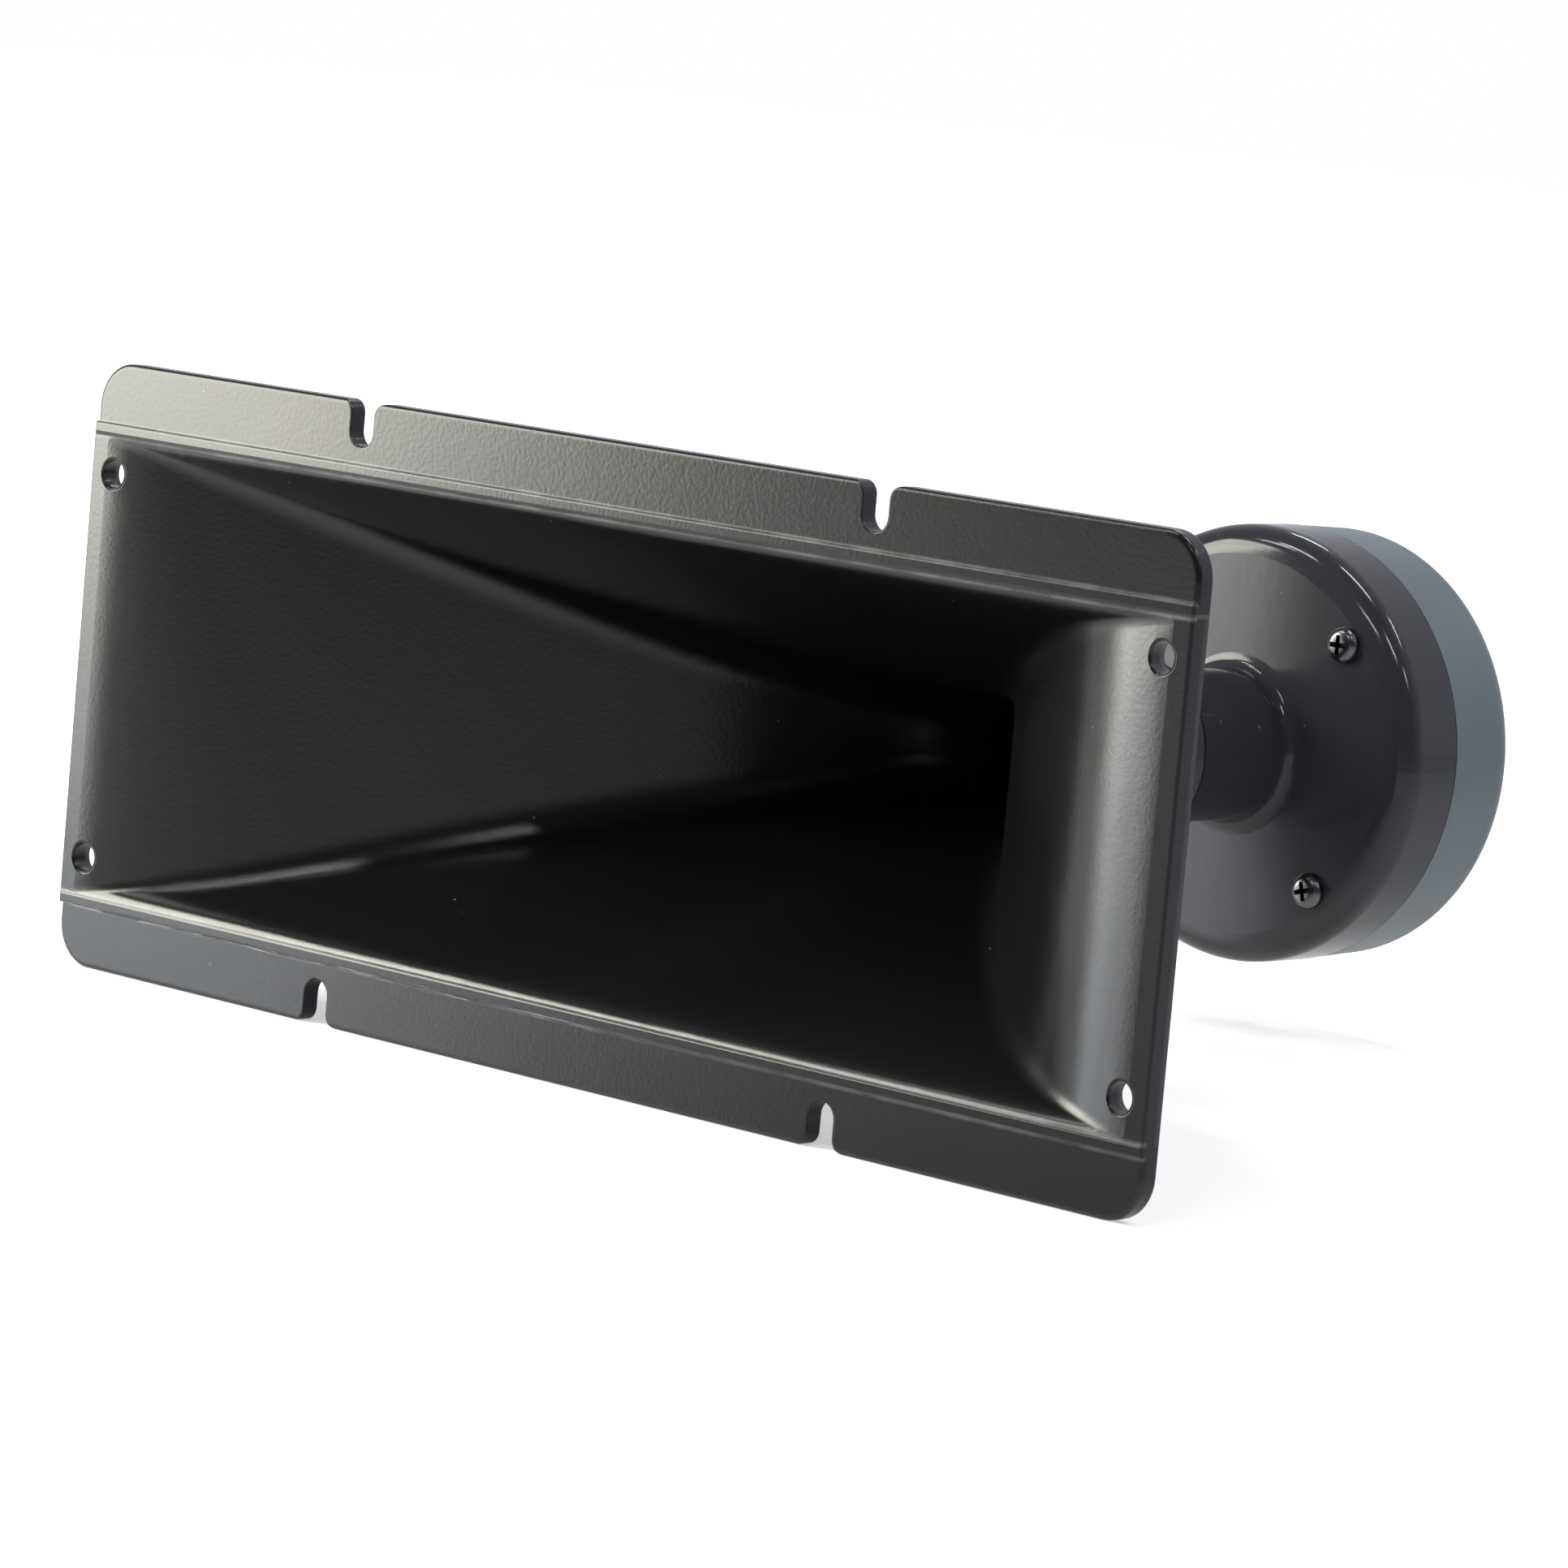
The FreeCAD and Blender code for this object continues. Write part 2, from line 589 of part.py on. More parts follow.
def lug_places():
    """Places of the two lugs on the diaphragm ring, beside the terminals."""
    half = TAB_SPACING / 2
    return [(-math.sqrt((RING_SCREW_PCD / 2) ** 2 - half ** 2), side * half) for side in (1, -1)]


def diaphragm_ring():
    """Moulded ring that carries the surround, with screw and lug holes."""
    outer_r = DIAPHRAGM_RING_D / 2
    body = turned([
        (RING_BORE_R, RING_FRONT_Y, 0), (outer_r, RING_FRONT_Y, DIAPHRAGM_RING_EDGE_R),
        (outer_r, TOP_PLATE_FRONT_Y, 0), (RING_BORE_R, TOP_PLATE_FRONT_Y, 0)])
    hole_r = RING_SCREW_SHANK_D / 2 + THREAD_CLEARANCE
    holes = [rod(hole_r, RING_FRONT_Y - CUT_MARGIN, TOP_PLATE_FRONT_Y + CUT_MARGIN, x, z)
             for x, z in ring_screw_places()]
    return body.cut(holes)


def ring_screws():
    """Three small screws in the diaphragm ring."""
    screw = pan_screw(RING_SCREW_HEAD_D, RING_SCREW_HEAD_H, RING_SCREW_SHANK_D, RING_SCREW_LENGTH,
                      RING_SCREW_RECESS_W, RING_SCREW_RECESS_SPAN, RING_SCREW_RECESS_DEPTH)
    return placed(screw, ring_screw_places(), RING_FRONT_Y)


def diaphragm_lugs():
    """Two brass solder lugs on the diaphragm ring's front face."""
    return Part.makeCompound([rod(LUG_D / 2, RING_FRONT_Y - LUG_T, RING_FRONT_Y, x, z)
                              for x, z in lug_places()])


def gasket():
    """Foam ring between the cover's inner tube and the diaphragm ring."""
    return tube(TUBE_R, GASKET_INNER_R, TUBE_END_Y, RING_FRONT_Y)


def sphere_cut(radius, y0, y1, reach):
    """Solid ball about the dome's centre, kept between two depths and within a radius."""
    ball = Part.makeSphere(radius, V(0, DOME_CENTRE_Y, 0))
    return ball.common(rod(reach, y0, y1))


def dome():
    """Thin dome of the diaphragm."""
    front_y = DOME_RIM_Y - DOME_RISE - CUT_MARGIN
    outer = sphere_cut(DOME_SPHERE_R, front_y, DOME_RIM_Y, FORMER_R)
    inner = sphere_cut(DOME_SPHERE_R - DOME_T, front_y, DOME_RIM_Y, FORMER_R)
    return outer.cut(inner)


def former():
    """Voice-coil former, glued under the dome's rim."""
    return tube(COIL_INNER_R, FORMER_R, DOME_RIM_Y, DOME_RIM_Y + FORMER_LENGTH)


def coil():
    """Voice-coil winding, centred in the magnet gap."""
    middle = (TOP_PLATE_FRONT_Y + MAGNET_FRONT_Y) / 2
    return tube(COIL_OUTER_R, COIL_INNER_R, middle - COIL_LENGTH / 2, middle + COIL_LENGTH / 2)


def surround():
    """Half-roll surround from the former out to the land on the diaphragm ring."""
    inner_r = COIL_INNER_R + SURROUND_GAP
    outer_r = RING_BORE_R
    middle_r = (inner_r + outer_r) / 2
    land_r = GASKET_INNER_R
    back_y = DOME_RIM_Y + SURROUND_T
    crest_y = DOME_RIM_Y - SURROUND_ROLL + SURROUND_T
    edges = [
        Part.Arc(V(inner_r, DOME_RIM_Y, 0), V(middle_r, crest_y, 0), V(outer_r, DOME_RIM_Y, 0)).toShape(),
        Part.makeLine(V(outer_r, DOME_RIM_Y, 0), V(land_r, DOME_RIM_Y, 0)),
        Part.makeLine(V(land_r, DOME_RIM_Y, 0), V(land_r, back_y, 0)),
        Part.makeLine(V(land_r, back_y, 0), V(outer_r, back_y, 0)),
        Part.Arc(V(outer_r, back_y, 0), V(middle_r, crest_y + SURROUND_T, 0),
                 V(inner_r, back_y, 0)).toShape(),
        Part.makeLine(V(inner_r, back_y, 0), V(inner_r, DOME_RIM_Y, 0))]
    return Part.Face(Part.Wire(edges)).revolve(CENTRE, ALONG_Y, 360)


def pole_pad():
    """Felt disc on the pole under the dome."""
    return tube(POLE_R - PAD_CLEARANCE, POLE_VENT_D / 2, TOP_PLATE_FRONT_Y - PAD_T, TOP_PLATE_FRONT_Y)


def phase_plug():
    """Plug in the cover's throat: a bullet, an outer ring and three thin webs between them."""
    bullet_r = PLUG_BULLET_D / 2
    exit_r = PLUG_EXIT_D / 2
    rear_y = DOME_RIM_Y - PLUG_REAR_CLEARANCE - SURROUND_ROLL
    nose_y = rear_y - PLUG_NOSE_LENGTH
    swell = V(PLUG_NOSE_RATIO * bullet_r, nose_y + PLUG_NOSE_LENGTH * PLUG_NOSE_RATIO ** 2, 0)
    nose = [Part.Arc(V(0, nose_y, 0), swell, V(bullet_r, rear_y, 0)).toShape(),
            Part.makeLine(V(bullet_r, rear_y, 0), V(0, rear_y, 0)),
            Part.makeLine(V(0, rear_y, 0), V(0, nose_y, 0))]
    bullet = Part.Face(Part.Wire(nose)).revolve(CENTRE, ALONG_Y, 360)
    ring = turned([(THROAT_R, PLUG_SEAT_Y, 0), (PLUG_SEAT_R, PLUG_SEAT_Y, 0),
                   (PLUG_SEAT_R, rear_y, 0), (exit_r, rear_y, 0)])
    web_y = PLUG_SEAT_Y + PLUG_WEB_T
    web = Part.makeBox(PLUG_SEAT_R - PLUG_WEB_INSET, rear_y - web_y, PLUG_WEB_T, V(0, web_y, -PLUG_WEB_T / 2))
    webs = []
    for i in range(PLUG_WEB_COUNT):
        copy = web.copy()
        copy.rotate(CENTRE, ALONG_Y, PLUG_WEB_TURN + 360.0 * i / PLUG_WEB_COUNT)
        webs.append(copy)
    gap = Part.makeSphere(DOME_SPHERE_R + PLUG_DOME_GAP, V(0, DOME_CENTRE_Y, 0))
    return union([bullet, ring] + webs).cut(gap)


def terminal_board():
    """Laminate board on the housing's pad, with holes for rivets and screws."""
    half_z = PAD_W / 2 - BOARD_MARGIN
    half_y = PAD_H / 2 - BOARD_MARGIN
    x0 = -PAD_FACE_X - BOARD_T
    board = Part.makeBox(BOARD_T, 2 * half_y, 2 * half_z, V(x0, PAD_CENTRE_Y - half_y, -half_z))
    uprights = [e for e in board.Edges if abs(e.BoundBox.XLength - BOARD_T) < SAME]
    board = board.makeFillet(BOARD_CORNER_R, uprights)
    start_x = x0 - CUT_MARGIN
    stop_x = CUT_MARGIN - PAD_FACE_X
    rivets = [sideways_rod(RIVET_D / 2 + THREAD_CLEARANCE, start_x, stop_x, side * TAB_SPACING / 2)
              for side in (1, -1)]
    screws = [sideways_rod(BOARD_SCREW_D / 2 + THREAD_CLEARANCE, start_x, stop_x, z)
              for z in board_screw_places()]
    return board.cut(rivets + screws)


def terminal(width, side):
    """Brass push-on tab: a foot on the board and a blade with a catch hole that stands out from it."""
    foot_x = -PAD_FACE_X - BOARD_T - TAB_T
    z = side * TAB_SPACING / 2
    half = width / 2
    seat = RIVET_HEAD_D / 2 + TAB_FOOT_MARGIN
    ends = sorted([z - side * seat, z + side * (seat + TAB_T)])
    foot = Part.makeBox(TAB_T, width, ends[1] - ends[0], V(foot_x, PAD_CENTRE_Y - half, ends[0]))
    blade_z = ends[1] - TAB_T if side > 0 else ends[0]
    tip_x = foot_x + TAB_T - TAB_LENGTH
    points = [(foot_x + TAB_T, -half), (tip_x + TAB_TIP, -half), (tip_x, -half + TAB_TIP),
              (tip_x, half - TAB_TIP), (tip_x + TAB_TIP, half), (foot_x + TAB_T, half)]
    vectors = [V(x, PAD_CENTRE_Y + y, blade_z) for x, y in points]
    blade = Part.Face(Part.makePolygon(vectors + vectors[:1])).extrude(V(0, 0, TAB_T))
    hole = sideways_rod(RIVET_D / 2 + THREAD_CLEARANCE, foot_x - CUT_MARGIN, foot_x + TAB_T + CUT_MARGIN, z)
    catch_place = V(tip_x + TAB_HOLE_INSET, PAD_CENTRE_Y, blade_z - CUT_MARGIN)
    catch = Part.makeCylinder(TAB_HOLE_D / 2, TAB_T + 2 * CUT_MARGIN, catch_place, V(0, 0, 1))
    return union([foot, blade]).cut([hole, catch])


def terminal_rivets():
    """Two tubular rivets through the tabs' feet and the board."""
    rivets = []
    outer_x = -PAD_FACE_X - BOARD_T - TAB_T
    inner_x = -PAD_FACE_X
    for side in (1, -1):
        z = side * TAB_SPACING / 2
        shank = sideways_rod(RIVET_D / 2, outer_x - RIVET_HEAD_H, inner_x + RIVET_HEAD_H, z)
        head = sideways_rod(RIVET_HEAD_D / 2, outer_x - RIVET_HEAD_H, outer_x, z)
        tail = sideways_rod(RIVET_HEAD_D / 2, inner_x, inner_x + RIVET_HEAD_H, z)
        rivets.append(union([shank, head, tail]))
    return Part.makeCompound(rivets)


def board_screws():
    """Two small screws that hold the terminal board to the housing's pad."""
    screw = pan_screw(BOARD_SCREW_HEAD_D, BOARD_SCREW_HEAD_H, BOARD_SCREW_D, BOARD_SCREW_LENGTH,
                      BOARD_SCREW_RECESS_W, BOARD_SCREW_RECESS_SPAN, BOARD_SCREW_RECESS_DEPTH)
    screw.rotate(CENTRE, V(0, 0, 1), -90)
    copies = []
    for z in board_screw_places():
        copy = screw.copy()
        copy.translate(V(-PAD_FACE_X - BOARD_T, PAD_CENTRE_Y, z))
        copies.append(copy)
    return Part.makeCompound(copies)


def lead(index):
    """Internal lead from a rivet's inner head round the magnet to a lug on the diaphragm ring."""
    x_lug, z = lug_places()[index]
    start_x = -PAD_FACE_X + RIVET_HEAD_H + LEAD_GAP
    run_x = -LEAD_RUN_R
    front_y = RING_FRONT_Y - LUG_T - LEAD_BEND_R - LEAD_D
    end_y = RING_FRONT_Y - LUG_T - LEAD_GAP
    corners = [V(start_x, PAD_CENTRE_Y, z), V(run_x, PAD_CENTRE_Y, z), V(run_x, front_y, z),
               V(x_lug, front_y, z), V(x_lug, end_y, z)]
    edges = []
    last = corners[0]
    for i in range(1, len(corners) - 1):
        before = (corners[i - 1] - corners[i]).normalize()
        after = (corners[i + 1] - corners[i]).normalize()
        start = corners[i] + before * LEAD_BEND_R
        stop = corners[i] + after * LEAD_BEND_R
        middle = corners[i] + (before + after) * (LEAD_BEND_R * (1 - math.sqrt(0.5)))
        if last.distanceToPoint(start) > SAME:
            edges.append(Part.makeLine(last, start))
        edges.append(Part.Arc(start, middle, stop).toShape())
        last = stop
    edges.append(Part.makeLine(last, corners[-1]))
    path = Part.Wire(edges)
    ring = Part.Wire(Part.makeCircle(LEAD_D / 2, corners[0], ALONG_X))
    return path.makePipeShell([ring], True, False)


def main():
    """Build every node and write it."""
    os.makedirs("parts", exist_ok=True)
    sides = {"terminal_positive": 1, "terminal_negative": -1}
    nodes = {
        "horn": horn(),
        "front_cover": front_cover(),
        "rear_housing": rear_housing(),
        "housing_seal": housing_seal(),
        "cover_screws": cover_screws(),
        "phase_plug": phase_plug(),
        "diaphragm_dome": dome(),
        "surround": surround(),
        "voice_coil_former": former(),
        "voice_coil": coil(),
        "diaphragm_ring": diaphragm_ring(),
        "diaphragm_ring_screws": ring_screws(),
        "diaphragm_lugs": diaphragm_lugs(),
        "cover_gasket": gasket(),
        "pole_pad": pole_pad(),
        "top_plate": top_plate(),
        "magnet_ring": magnet(),
        "pole_yoke": yoke(),
        "terminal_board": terminal_board(),
        "terminal_rivets": terminal_rivets(),
        "board_screws": board_screws(),
        "lead_positive": lead(0),
        "lead_negative": lead(1),
    }
    for name, width in TAB_WIDTHS.items():
        nodes[name] = terminal(width, sides[name])
    for name, shape in nodes.items():
        write(shape, name)


main()
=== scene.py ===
"""The horn tweeter in its finishes, in a plain studio, seen from its front right.

Sizes are in millimetres and angles in degrees unless a name says otherwise. The frame is the part's
own: X along the flange, Y from the mouth back to the driver, Z up. Nearly every visible form is a
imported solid; this script adds the finishes, the real screws and the wound voice coil.
"""

import json
import logging
import math
from dataclasses import dataclass
from enum import Enum
from typing import Callable, Optional, Union

import bmesh
import bpy
from mathutils import Matrix, Vector


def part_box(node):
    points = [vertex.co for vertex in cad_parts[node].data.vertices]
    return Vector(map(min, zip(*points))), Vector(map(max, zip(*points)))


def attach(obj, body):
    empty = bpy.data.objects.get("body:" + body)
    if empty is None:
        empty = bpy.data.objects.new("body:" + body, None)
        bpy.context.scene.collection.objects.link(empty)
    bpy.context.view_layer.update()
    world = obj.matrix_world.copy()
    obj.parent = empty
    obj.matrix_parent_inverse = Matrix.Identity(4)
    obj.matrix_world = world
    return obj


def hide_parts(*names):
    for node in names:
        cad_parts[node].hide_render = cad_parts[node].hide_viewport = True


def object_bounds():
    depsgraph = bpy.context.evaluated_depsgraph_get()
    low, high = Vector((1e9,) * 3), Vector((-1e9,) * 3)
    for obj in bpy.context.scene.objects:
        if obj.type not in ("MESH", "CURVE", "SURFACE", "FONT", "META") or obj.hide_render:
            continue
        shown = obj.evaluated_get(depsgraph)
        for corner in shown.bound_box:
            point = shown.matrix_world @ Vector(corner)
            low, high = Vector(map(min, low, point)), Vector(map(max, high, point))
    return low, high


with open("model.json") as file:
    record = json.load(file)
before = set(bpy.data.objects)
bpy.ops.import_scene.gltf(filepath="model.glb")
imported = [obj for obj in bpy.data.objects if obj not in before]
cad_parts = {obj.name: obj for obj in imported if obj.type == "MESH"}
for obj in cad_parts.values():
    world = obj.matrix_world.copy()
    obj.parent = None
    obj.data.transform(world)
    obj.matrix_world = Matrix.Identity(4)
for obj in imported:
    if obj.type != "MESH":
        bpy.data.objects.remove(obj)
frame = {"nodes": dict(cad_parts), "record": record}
CAD_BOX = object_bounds()

MM = 0.001
MERGE = 0.002
QUARTER_TURN = math.pi / 2
Colour = tuple[float, float, float, float]
Place = tuple[float, float, float]
Tree = bpy.types.NodeTree
Socket = bpy.types.NodeSocket
Value = Union[float, tuple, Socket]
WHITE: Colour = (1.0, 1.0, 1.0, 1.0)
log = logging.getLogger("horn_tweeter")


class Body(Enum):
    """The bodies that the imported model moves."""

    FIXED = "driver_and_horn"
    DIAPHRAGM = "diaphragm"


class Slot(Enum):
    """Names of the record's material slots for the new pieces; nothing here gives the pieces these slots."""

    SCREW_BLACK = "screw_black"
    SCREW_ZINC = "screw_zinc"
    COPPER_WIRE = "copper_wire"


class Element(Enum):
    """What an edit picks."""

    CORNER = "VERT"
    EDGE = "EDGE"
    FACE = "FACE"


class Heads(Enum):
    """The side that a set of screws has its heads on: its axis, and the turn there from the front."""

    FRONT = (1, 0.0)
    LEFT = (0, -90.0)


class Ior(Enum):
    """Refractive index of each kind of moulded or coated surface."""

    ABS = 1.5
    ABS_HANDLED = 1.42
    RUBBER = 1.52
    FILM = 1.64
    FERRITE = 2.0


def linear(code: str) -> Colour:
    """Turns an sRGB hex colour into linear light.

    Args:
        code: Six hex digits after a hash, such as "#2b2b2d".

    Returns:
        Red, green, blue and an alpha of 1.
    """
    parts = [int(code[i:i + 2], 16) / 255 for i in (1, 3, 5)]
    low_end, low_slope, offset, power = 0.04045, 12.92, 0.055, 2.4
    turned = [p / low_slope if p <= low_end else ((p + offset) / (1 + offset)) ** power for p in parts]
    return (turned[0], turned[1], turned[2], 1.0)


def add_node(tree: Tree, kind: str, inputs: Optional[dict[Union[int, str], Value]] = None,
             **settings: object) -> bpy.types.Node:
    """Adds one node with its settings, and fills its inputs with values or links.

    Args:
        tree: The material's or world's node tree.
        kind: The node's type name without its "ShaderNode" start.
        inputs: A value or an output socket for each input, by name or by place.
        settings: The node's own properties.

    Returns:
        The new node.
    """
    node = tree.nodes.new("ShaderNode" + kind)
    for name, setting in settings.items():
        setattr(node, name, setting)
    for name, value in (inputs or {}).items():
        if isinstance(value, Socket):
            tree.links.new(value, node.inputs[name])
        else:
            node.inputs[name].default_value = value
    return node


def new_material(name: str) -> tuple[bpy.types.Material, Tree]:
    """Makes an empty node material.

    Args:
        name: The material's name.

    Returns:
        The material and its cleared node tree.
    """
    material = bpy.data.materials.new(name)
    material.use_nodes = True
    material.node_tree.nodes.clear()
    return material, material.node_tree


@dataclass(frozen=True)
class Ramp:
    """A share that runs from first to last while a socket's value runs from start to end."""

    along: Socket
    start: float
    end: float
    first: float = 0.0
    last: float = 1.0


def masked(tree: Tree, *ramps: Ramp) -> Socket:
    """Multiplies ramps into one mask.

    Args:
        tree: The material's node tree.
        ramps: The ramps, each held at its ends outside its stretch.

    Returns:
        The mask.
    """
    mask: Value = 1.0
    for ramp in ramps:
        share = add_node(tree, "MapRange", {"Value": ramp.along, "From Min": ramp.start, "From Max": ramp.end,
                                            "To Min": ramp.first, "To Max": ramp.last}).outputs[0]
        mask = add_node(tree, "Math", {0: mask, 1: share}, operation="MULTIPLY").outputs[0]
    return mask


@dataclass(frozen=True)
class MouldedPlastic:
    """Injection-moulded plastic with the fine grain of its mould.

    The grain breaks a highlight's edge and leaves a satin face. A mould's grain is about 0.1 mm wide
    and wouldn't show, so it is drawn 0.45 mm wide, or wider where a finish says so. The tone drifts a
    little over the part, as the melt does, and where a spacing is given a few dust grains lie on it.
    """

    name: str
    colour: str
    roughness: float
    grain: float = 0.45
    grain_depth: float = 0.01
    grain_detail: float = 2.0
    drift: float = 0.12
    drift_size: float = 60.0
    drift_detail: float = 3.0
    gloss_drift: float = 0.1
    dust_spacing: float = 0.0
    dust_size: float = 0.22
    dust_share: float = 0.4
    dust_colour: str = "#9a9a96"
    rim_radius: float = 0.0
    rim_samples: int = 6
    ior: Ior = Ior.ABS

    def tone(self, tree: Tree, place: Socket, slow: Socket) -> Socket:
        """Adds the drifting colour and its dust.

        Args:
            tree: The material's node tree.
            place: Object coordinates.
            slow: The noise that the drift follows.

        Returns:
            The colour.
        """
        base = linear(self.colour)
        darker, lighter = (tuple(c * share for c in base[:3]) + (1.0,)
                           for share in (1 - self.drift, 1 + self.drift))
        tone = add_node(tree, "MixRGB", {0: slow, 1: darker, 2: lighter}).outputs[0]
        if not self.dust_spacing:
            return tone
        cells = add_node(tree, "TexVoronoi", {"Vector": place, "Scale": 1 / (self.dust_spacing * MM)})
        drawn = add_node(tree, "SeparateColor", {0: cells.outputs["Color"]}).outputs[0]
        near = self.dust_size / self.dust_spacing
        lies = masked(tree, Ramp(cells.outputs["Distance"], 0.0, near, 1.0, 0.0),
                      Ramp(drawn, 1 - self.dust_share, 1.0))
        return add_node(tree, "MixRGB", {0: lies, 1: tone, 2: linear(self.dust_colour)}).outputs[0]

    def rounding(self, tree: Tree, place: Socket) -> Value:
        """Returns the radius of the moulded edges, in metres; here it is the same all over."""
        return self.rim_radius * MM

    def relief(self, tree: Tree, place: Socket) -> Socket:
        """Adds the mould's grain.

        Args:
            tree: The material's node tree.
            place: Object coordinates.

        Returns:
            A height in millimetres.
        """
        fine = add_node(tree, "TexNoise", {"Vector": place, "Scale": 1 / (self.grain * MM),
                                           "Detail": self.grain_detail})
        return add_node(tree, "Math", {0: fine.outputs["Fac"], 1: self.grain_depth},
                        operation="MULTIPLY").outputs[0]

    def build(self) -> bpy.types.Material:
        """Makes the material.

        Returns:
            The material.
        """
        material, tree = new_material(self.name)
        place = add_node(tree, "TexCoord").outputs["Object"]
        slow = add_node(tree, "TexNoise", {"Vector": place, "Scale": 1 / (self.drift_size * MM),
                                           "Detail": self.drift_detail}).outputs["Fac"]
        gloss = add_node(tree, "MapRange", {"Value": slow, "To Min": self.roughness * (1 - self.gloss_drift),
                                            "To Max": self.roughness * (1 + self.gloss_drift)})
        bump = add_node(tree, "Bump", {"Height": self.relief(tree, place), "Distance": MM})
        if self.rim_radius:
            rounded = add_node(tree, "Bevel", {"Radius": self.rounding(tree, place)},
                               samples=self.rim_samples)
            tree.links.new(rounded.outputs[0], bump.inputs["Normal"])
        shader = add_node(tree, "BsdfPrincipled", {"Base Color": self.tone(tree, place, slow),
                                                   "Roughness": gloss.outputs["Result"],
                                                   "Normal": bump.outputs["Normal"],
                                                   "IOR": self.ior.value})
        add_node(tree, "OutputMaterial", {"Surface": shader.outputs[0]})
        return material


@dataclass(frozen=True, kw_only=True)
class RubbedPlastic(MouldedPlastic):
    """The horn's plastic, which handling has rubbed.

    The band's two rims are painted paler than its faces, partly as rubbed wear and partly as a painted
    highlight for the light the rims catch. Dry scratches break up the lower one, and the rims of the mouth
    and of the corner holes are slightly round, so that each draws a thin line of light. The flare's four
    creases are round at the mouth and run out to sharp ones on their way in.
    """

    band_height: float
    mouth_height: float
    face_depth: float
    hole_place: Place
    hole_radius: float
    # The pale rim lines: partly rubbed wear, partly a painted highlight.
    rim_width: float = 0.55
    rub_and_highlight: float = 0.65
    rub_and_highlight_least: float = 0.3
    rub_and_highlight_colour: str = "#8c8c8e"
    rub_and_highlight_from: float = 0.35
    rub_and_highlight_full: float = 0.65
    rub_and_highlight_detail: float = 4.0
    scratch_colour: str = "#c4c4c2"
    scratch_length: float = 9.0
    scratch_height: float = 0.45
    scratch_from: float = 0.54
    scratch_full: float = 0.62
    scratched_to: float = 15.0
    face_fade: float = 0.4
    hole_rounding: float = 0.45
    mouth_rounding: float = 0.85
    crease_radius: float = 4.0
    crease_margin: float = 0.1
    crease_edge: float = 0.5
    crease_from: float = -3.6
    crease_full: float = 2.0
    crease_fades: float = 60.0
    crease_ends: float = 100.0

    def line_along(self, tree: Tree, depth: Socket, way: Socket, rim: float,
                   width: float) -> tuple[Ramp, Ramp]:
        """Lays a line along a rim of the raised band.

        Args:
            tree: The material's node tree.
            depth: Place along Y, in metres.
            way: Place across the rim, in metres.
            rim: The rim's own place across.
            width: Half of the line's width.

        Returns:
            Two ramps that are 1 on the rim and 0 beside and behind it.
        """
        off = add_node(tree, "Math", {0: way, 1: rim * MM}, operation="SUBTRACT").outputs[0]
        beside = add_node(tree, "Math", {0: off}, operation="ABSOLUTE").outputs[0]
        return (Ramp(beside, 0.0, width * MM, 1.0, 0.0),
                Ramp(depth, self.face_depth * MM, (self.face_depth + self.face_fade) * MM, 1.0, 0.0))

    def scratches(self, tree: Tree, place: Socket) -> Ramp:
        """Draws broken marks that run along X, several times as wide as real ones so that they show.

        Args:
            tree: The material's node tree.
            place: Object coordinates.

        Returns:
            A ramp that is 1 in a mark.
        """
        sizes = (self.scratch_length, self.scratch_height, self.scratch_height)
        scale = tuple(1 / (size * MM) for size in sizes)
        drawn = add_node(tree, "Mapping", {"Vector": place, "Scale": scale})
        marks = add_node(tree, "TexNoise", {"Vector": drawn.outputs[0], "Scale": 1.0,
                                            "Detail": self.grain_detail})
        return Ramp(marks.outputs["Fac"], self.scratch_from, self.scratch_full)

    def tone(self, tree: Tree, place: Socket, slow: Socket) -> Socket:
        """Adds the pale rims, partly rubbed wear and partly painted highlight, and the scratches to the
        colour.

        Args:
            tree: The material's node tree.
            place: Object coordinates.
            slow: The noise that the drift follows.

        Returns:
            The colour.
        """
        tone = super().tone(tree, place, slow)
        along, depth, up = add_node(tree, "SeparateXYZ", {0: place}).outputs
        height = add_node(tree, "Math", {0: up}, operation="ABSOLUTE").outputs[0]
        rub_and_highlight_noise = add_node(tree, "TexNoise", {"Vector": place, "Scale": 1 / (self.scratch_length * MM),
                                           "Detail": self.rub_and_highlight_detail}).outputs["Fac"]
        uneven_rub_and_highlight = Ramp(rub_and_highlight_noise, self.rub_and_highlight_from, self.rub_and_highlight_full, self.rub_and_highlight * self.rub_and_highlight_least, self.rub_and_highlight)
        # Painted highlight: pale patchy lines along the band's outer rim and the mouth's rim, partly rubbed
        # wear.
        for rim in (self.band_height, self.mouth_height):
            line = self.line_along(tree, depth, height, rim, self.rim_width)
            share = masked(tree, *line, uneven_rub_and_highlight)
            tone = add_node(tree, "MixRGB", {0: share, 1: tone, 2: linear(self.rub_and_highlight_colour)}).outputs[0]
        below = add_node(tree, "Math", {0: up, 1: -1.0}, operation="MULTIPLY").outputs[0]
        line = self.line_along(tree, depth, below, self.band_height, self.scratch_height)
        share = masked(tree, self.scratches(tree, place), *line,
                       Ramp(along, 0.0, self.scratched_to * MM, 1.0, 0.0))
        return add_node(tree, "MixRGB", {0: share, 1: tone, 2: linear(self.scratch_colour)}).outputs[0]

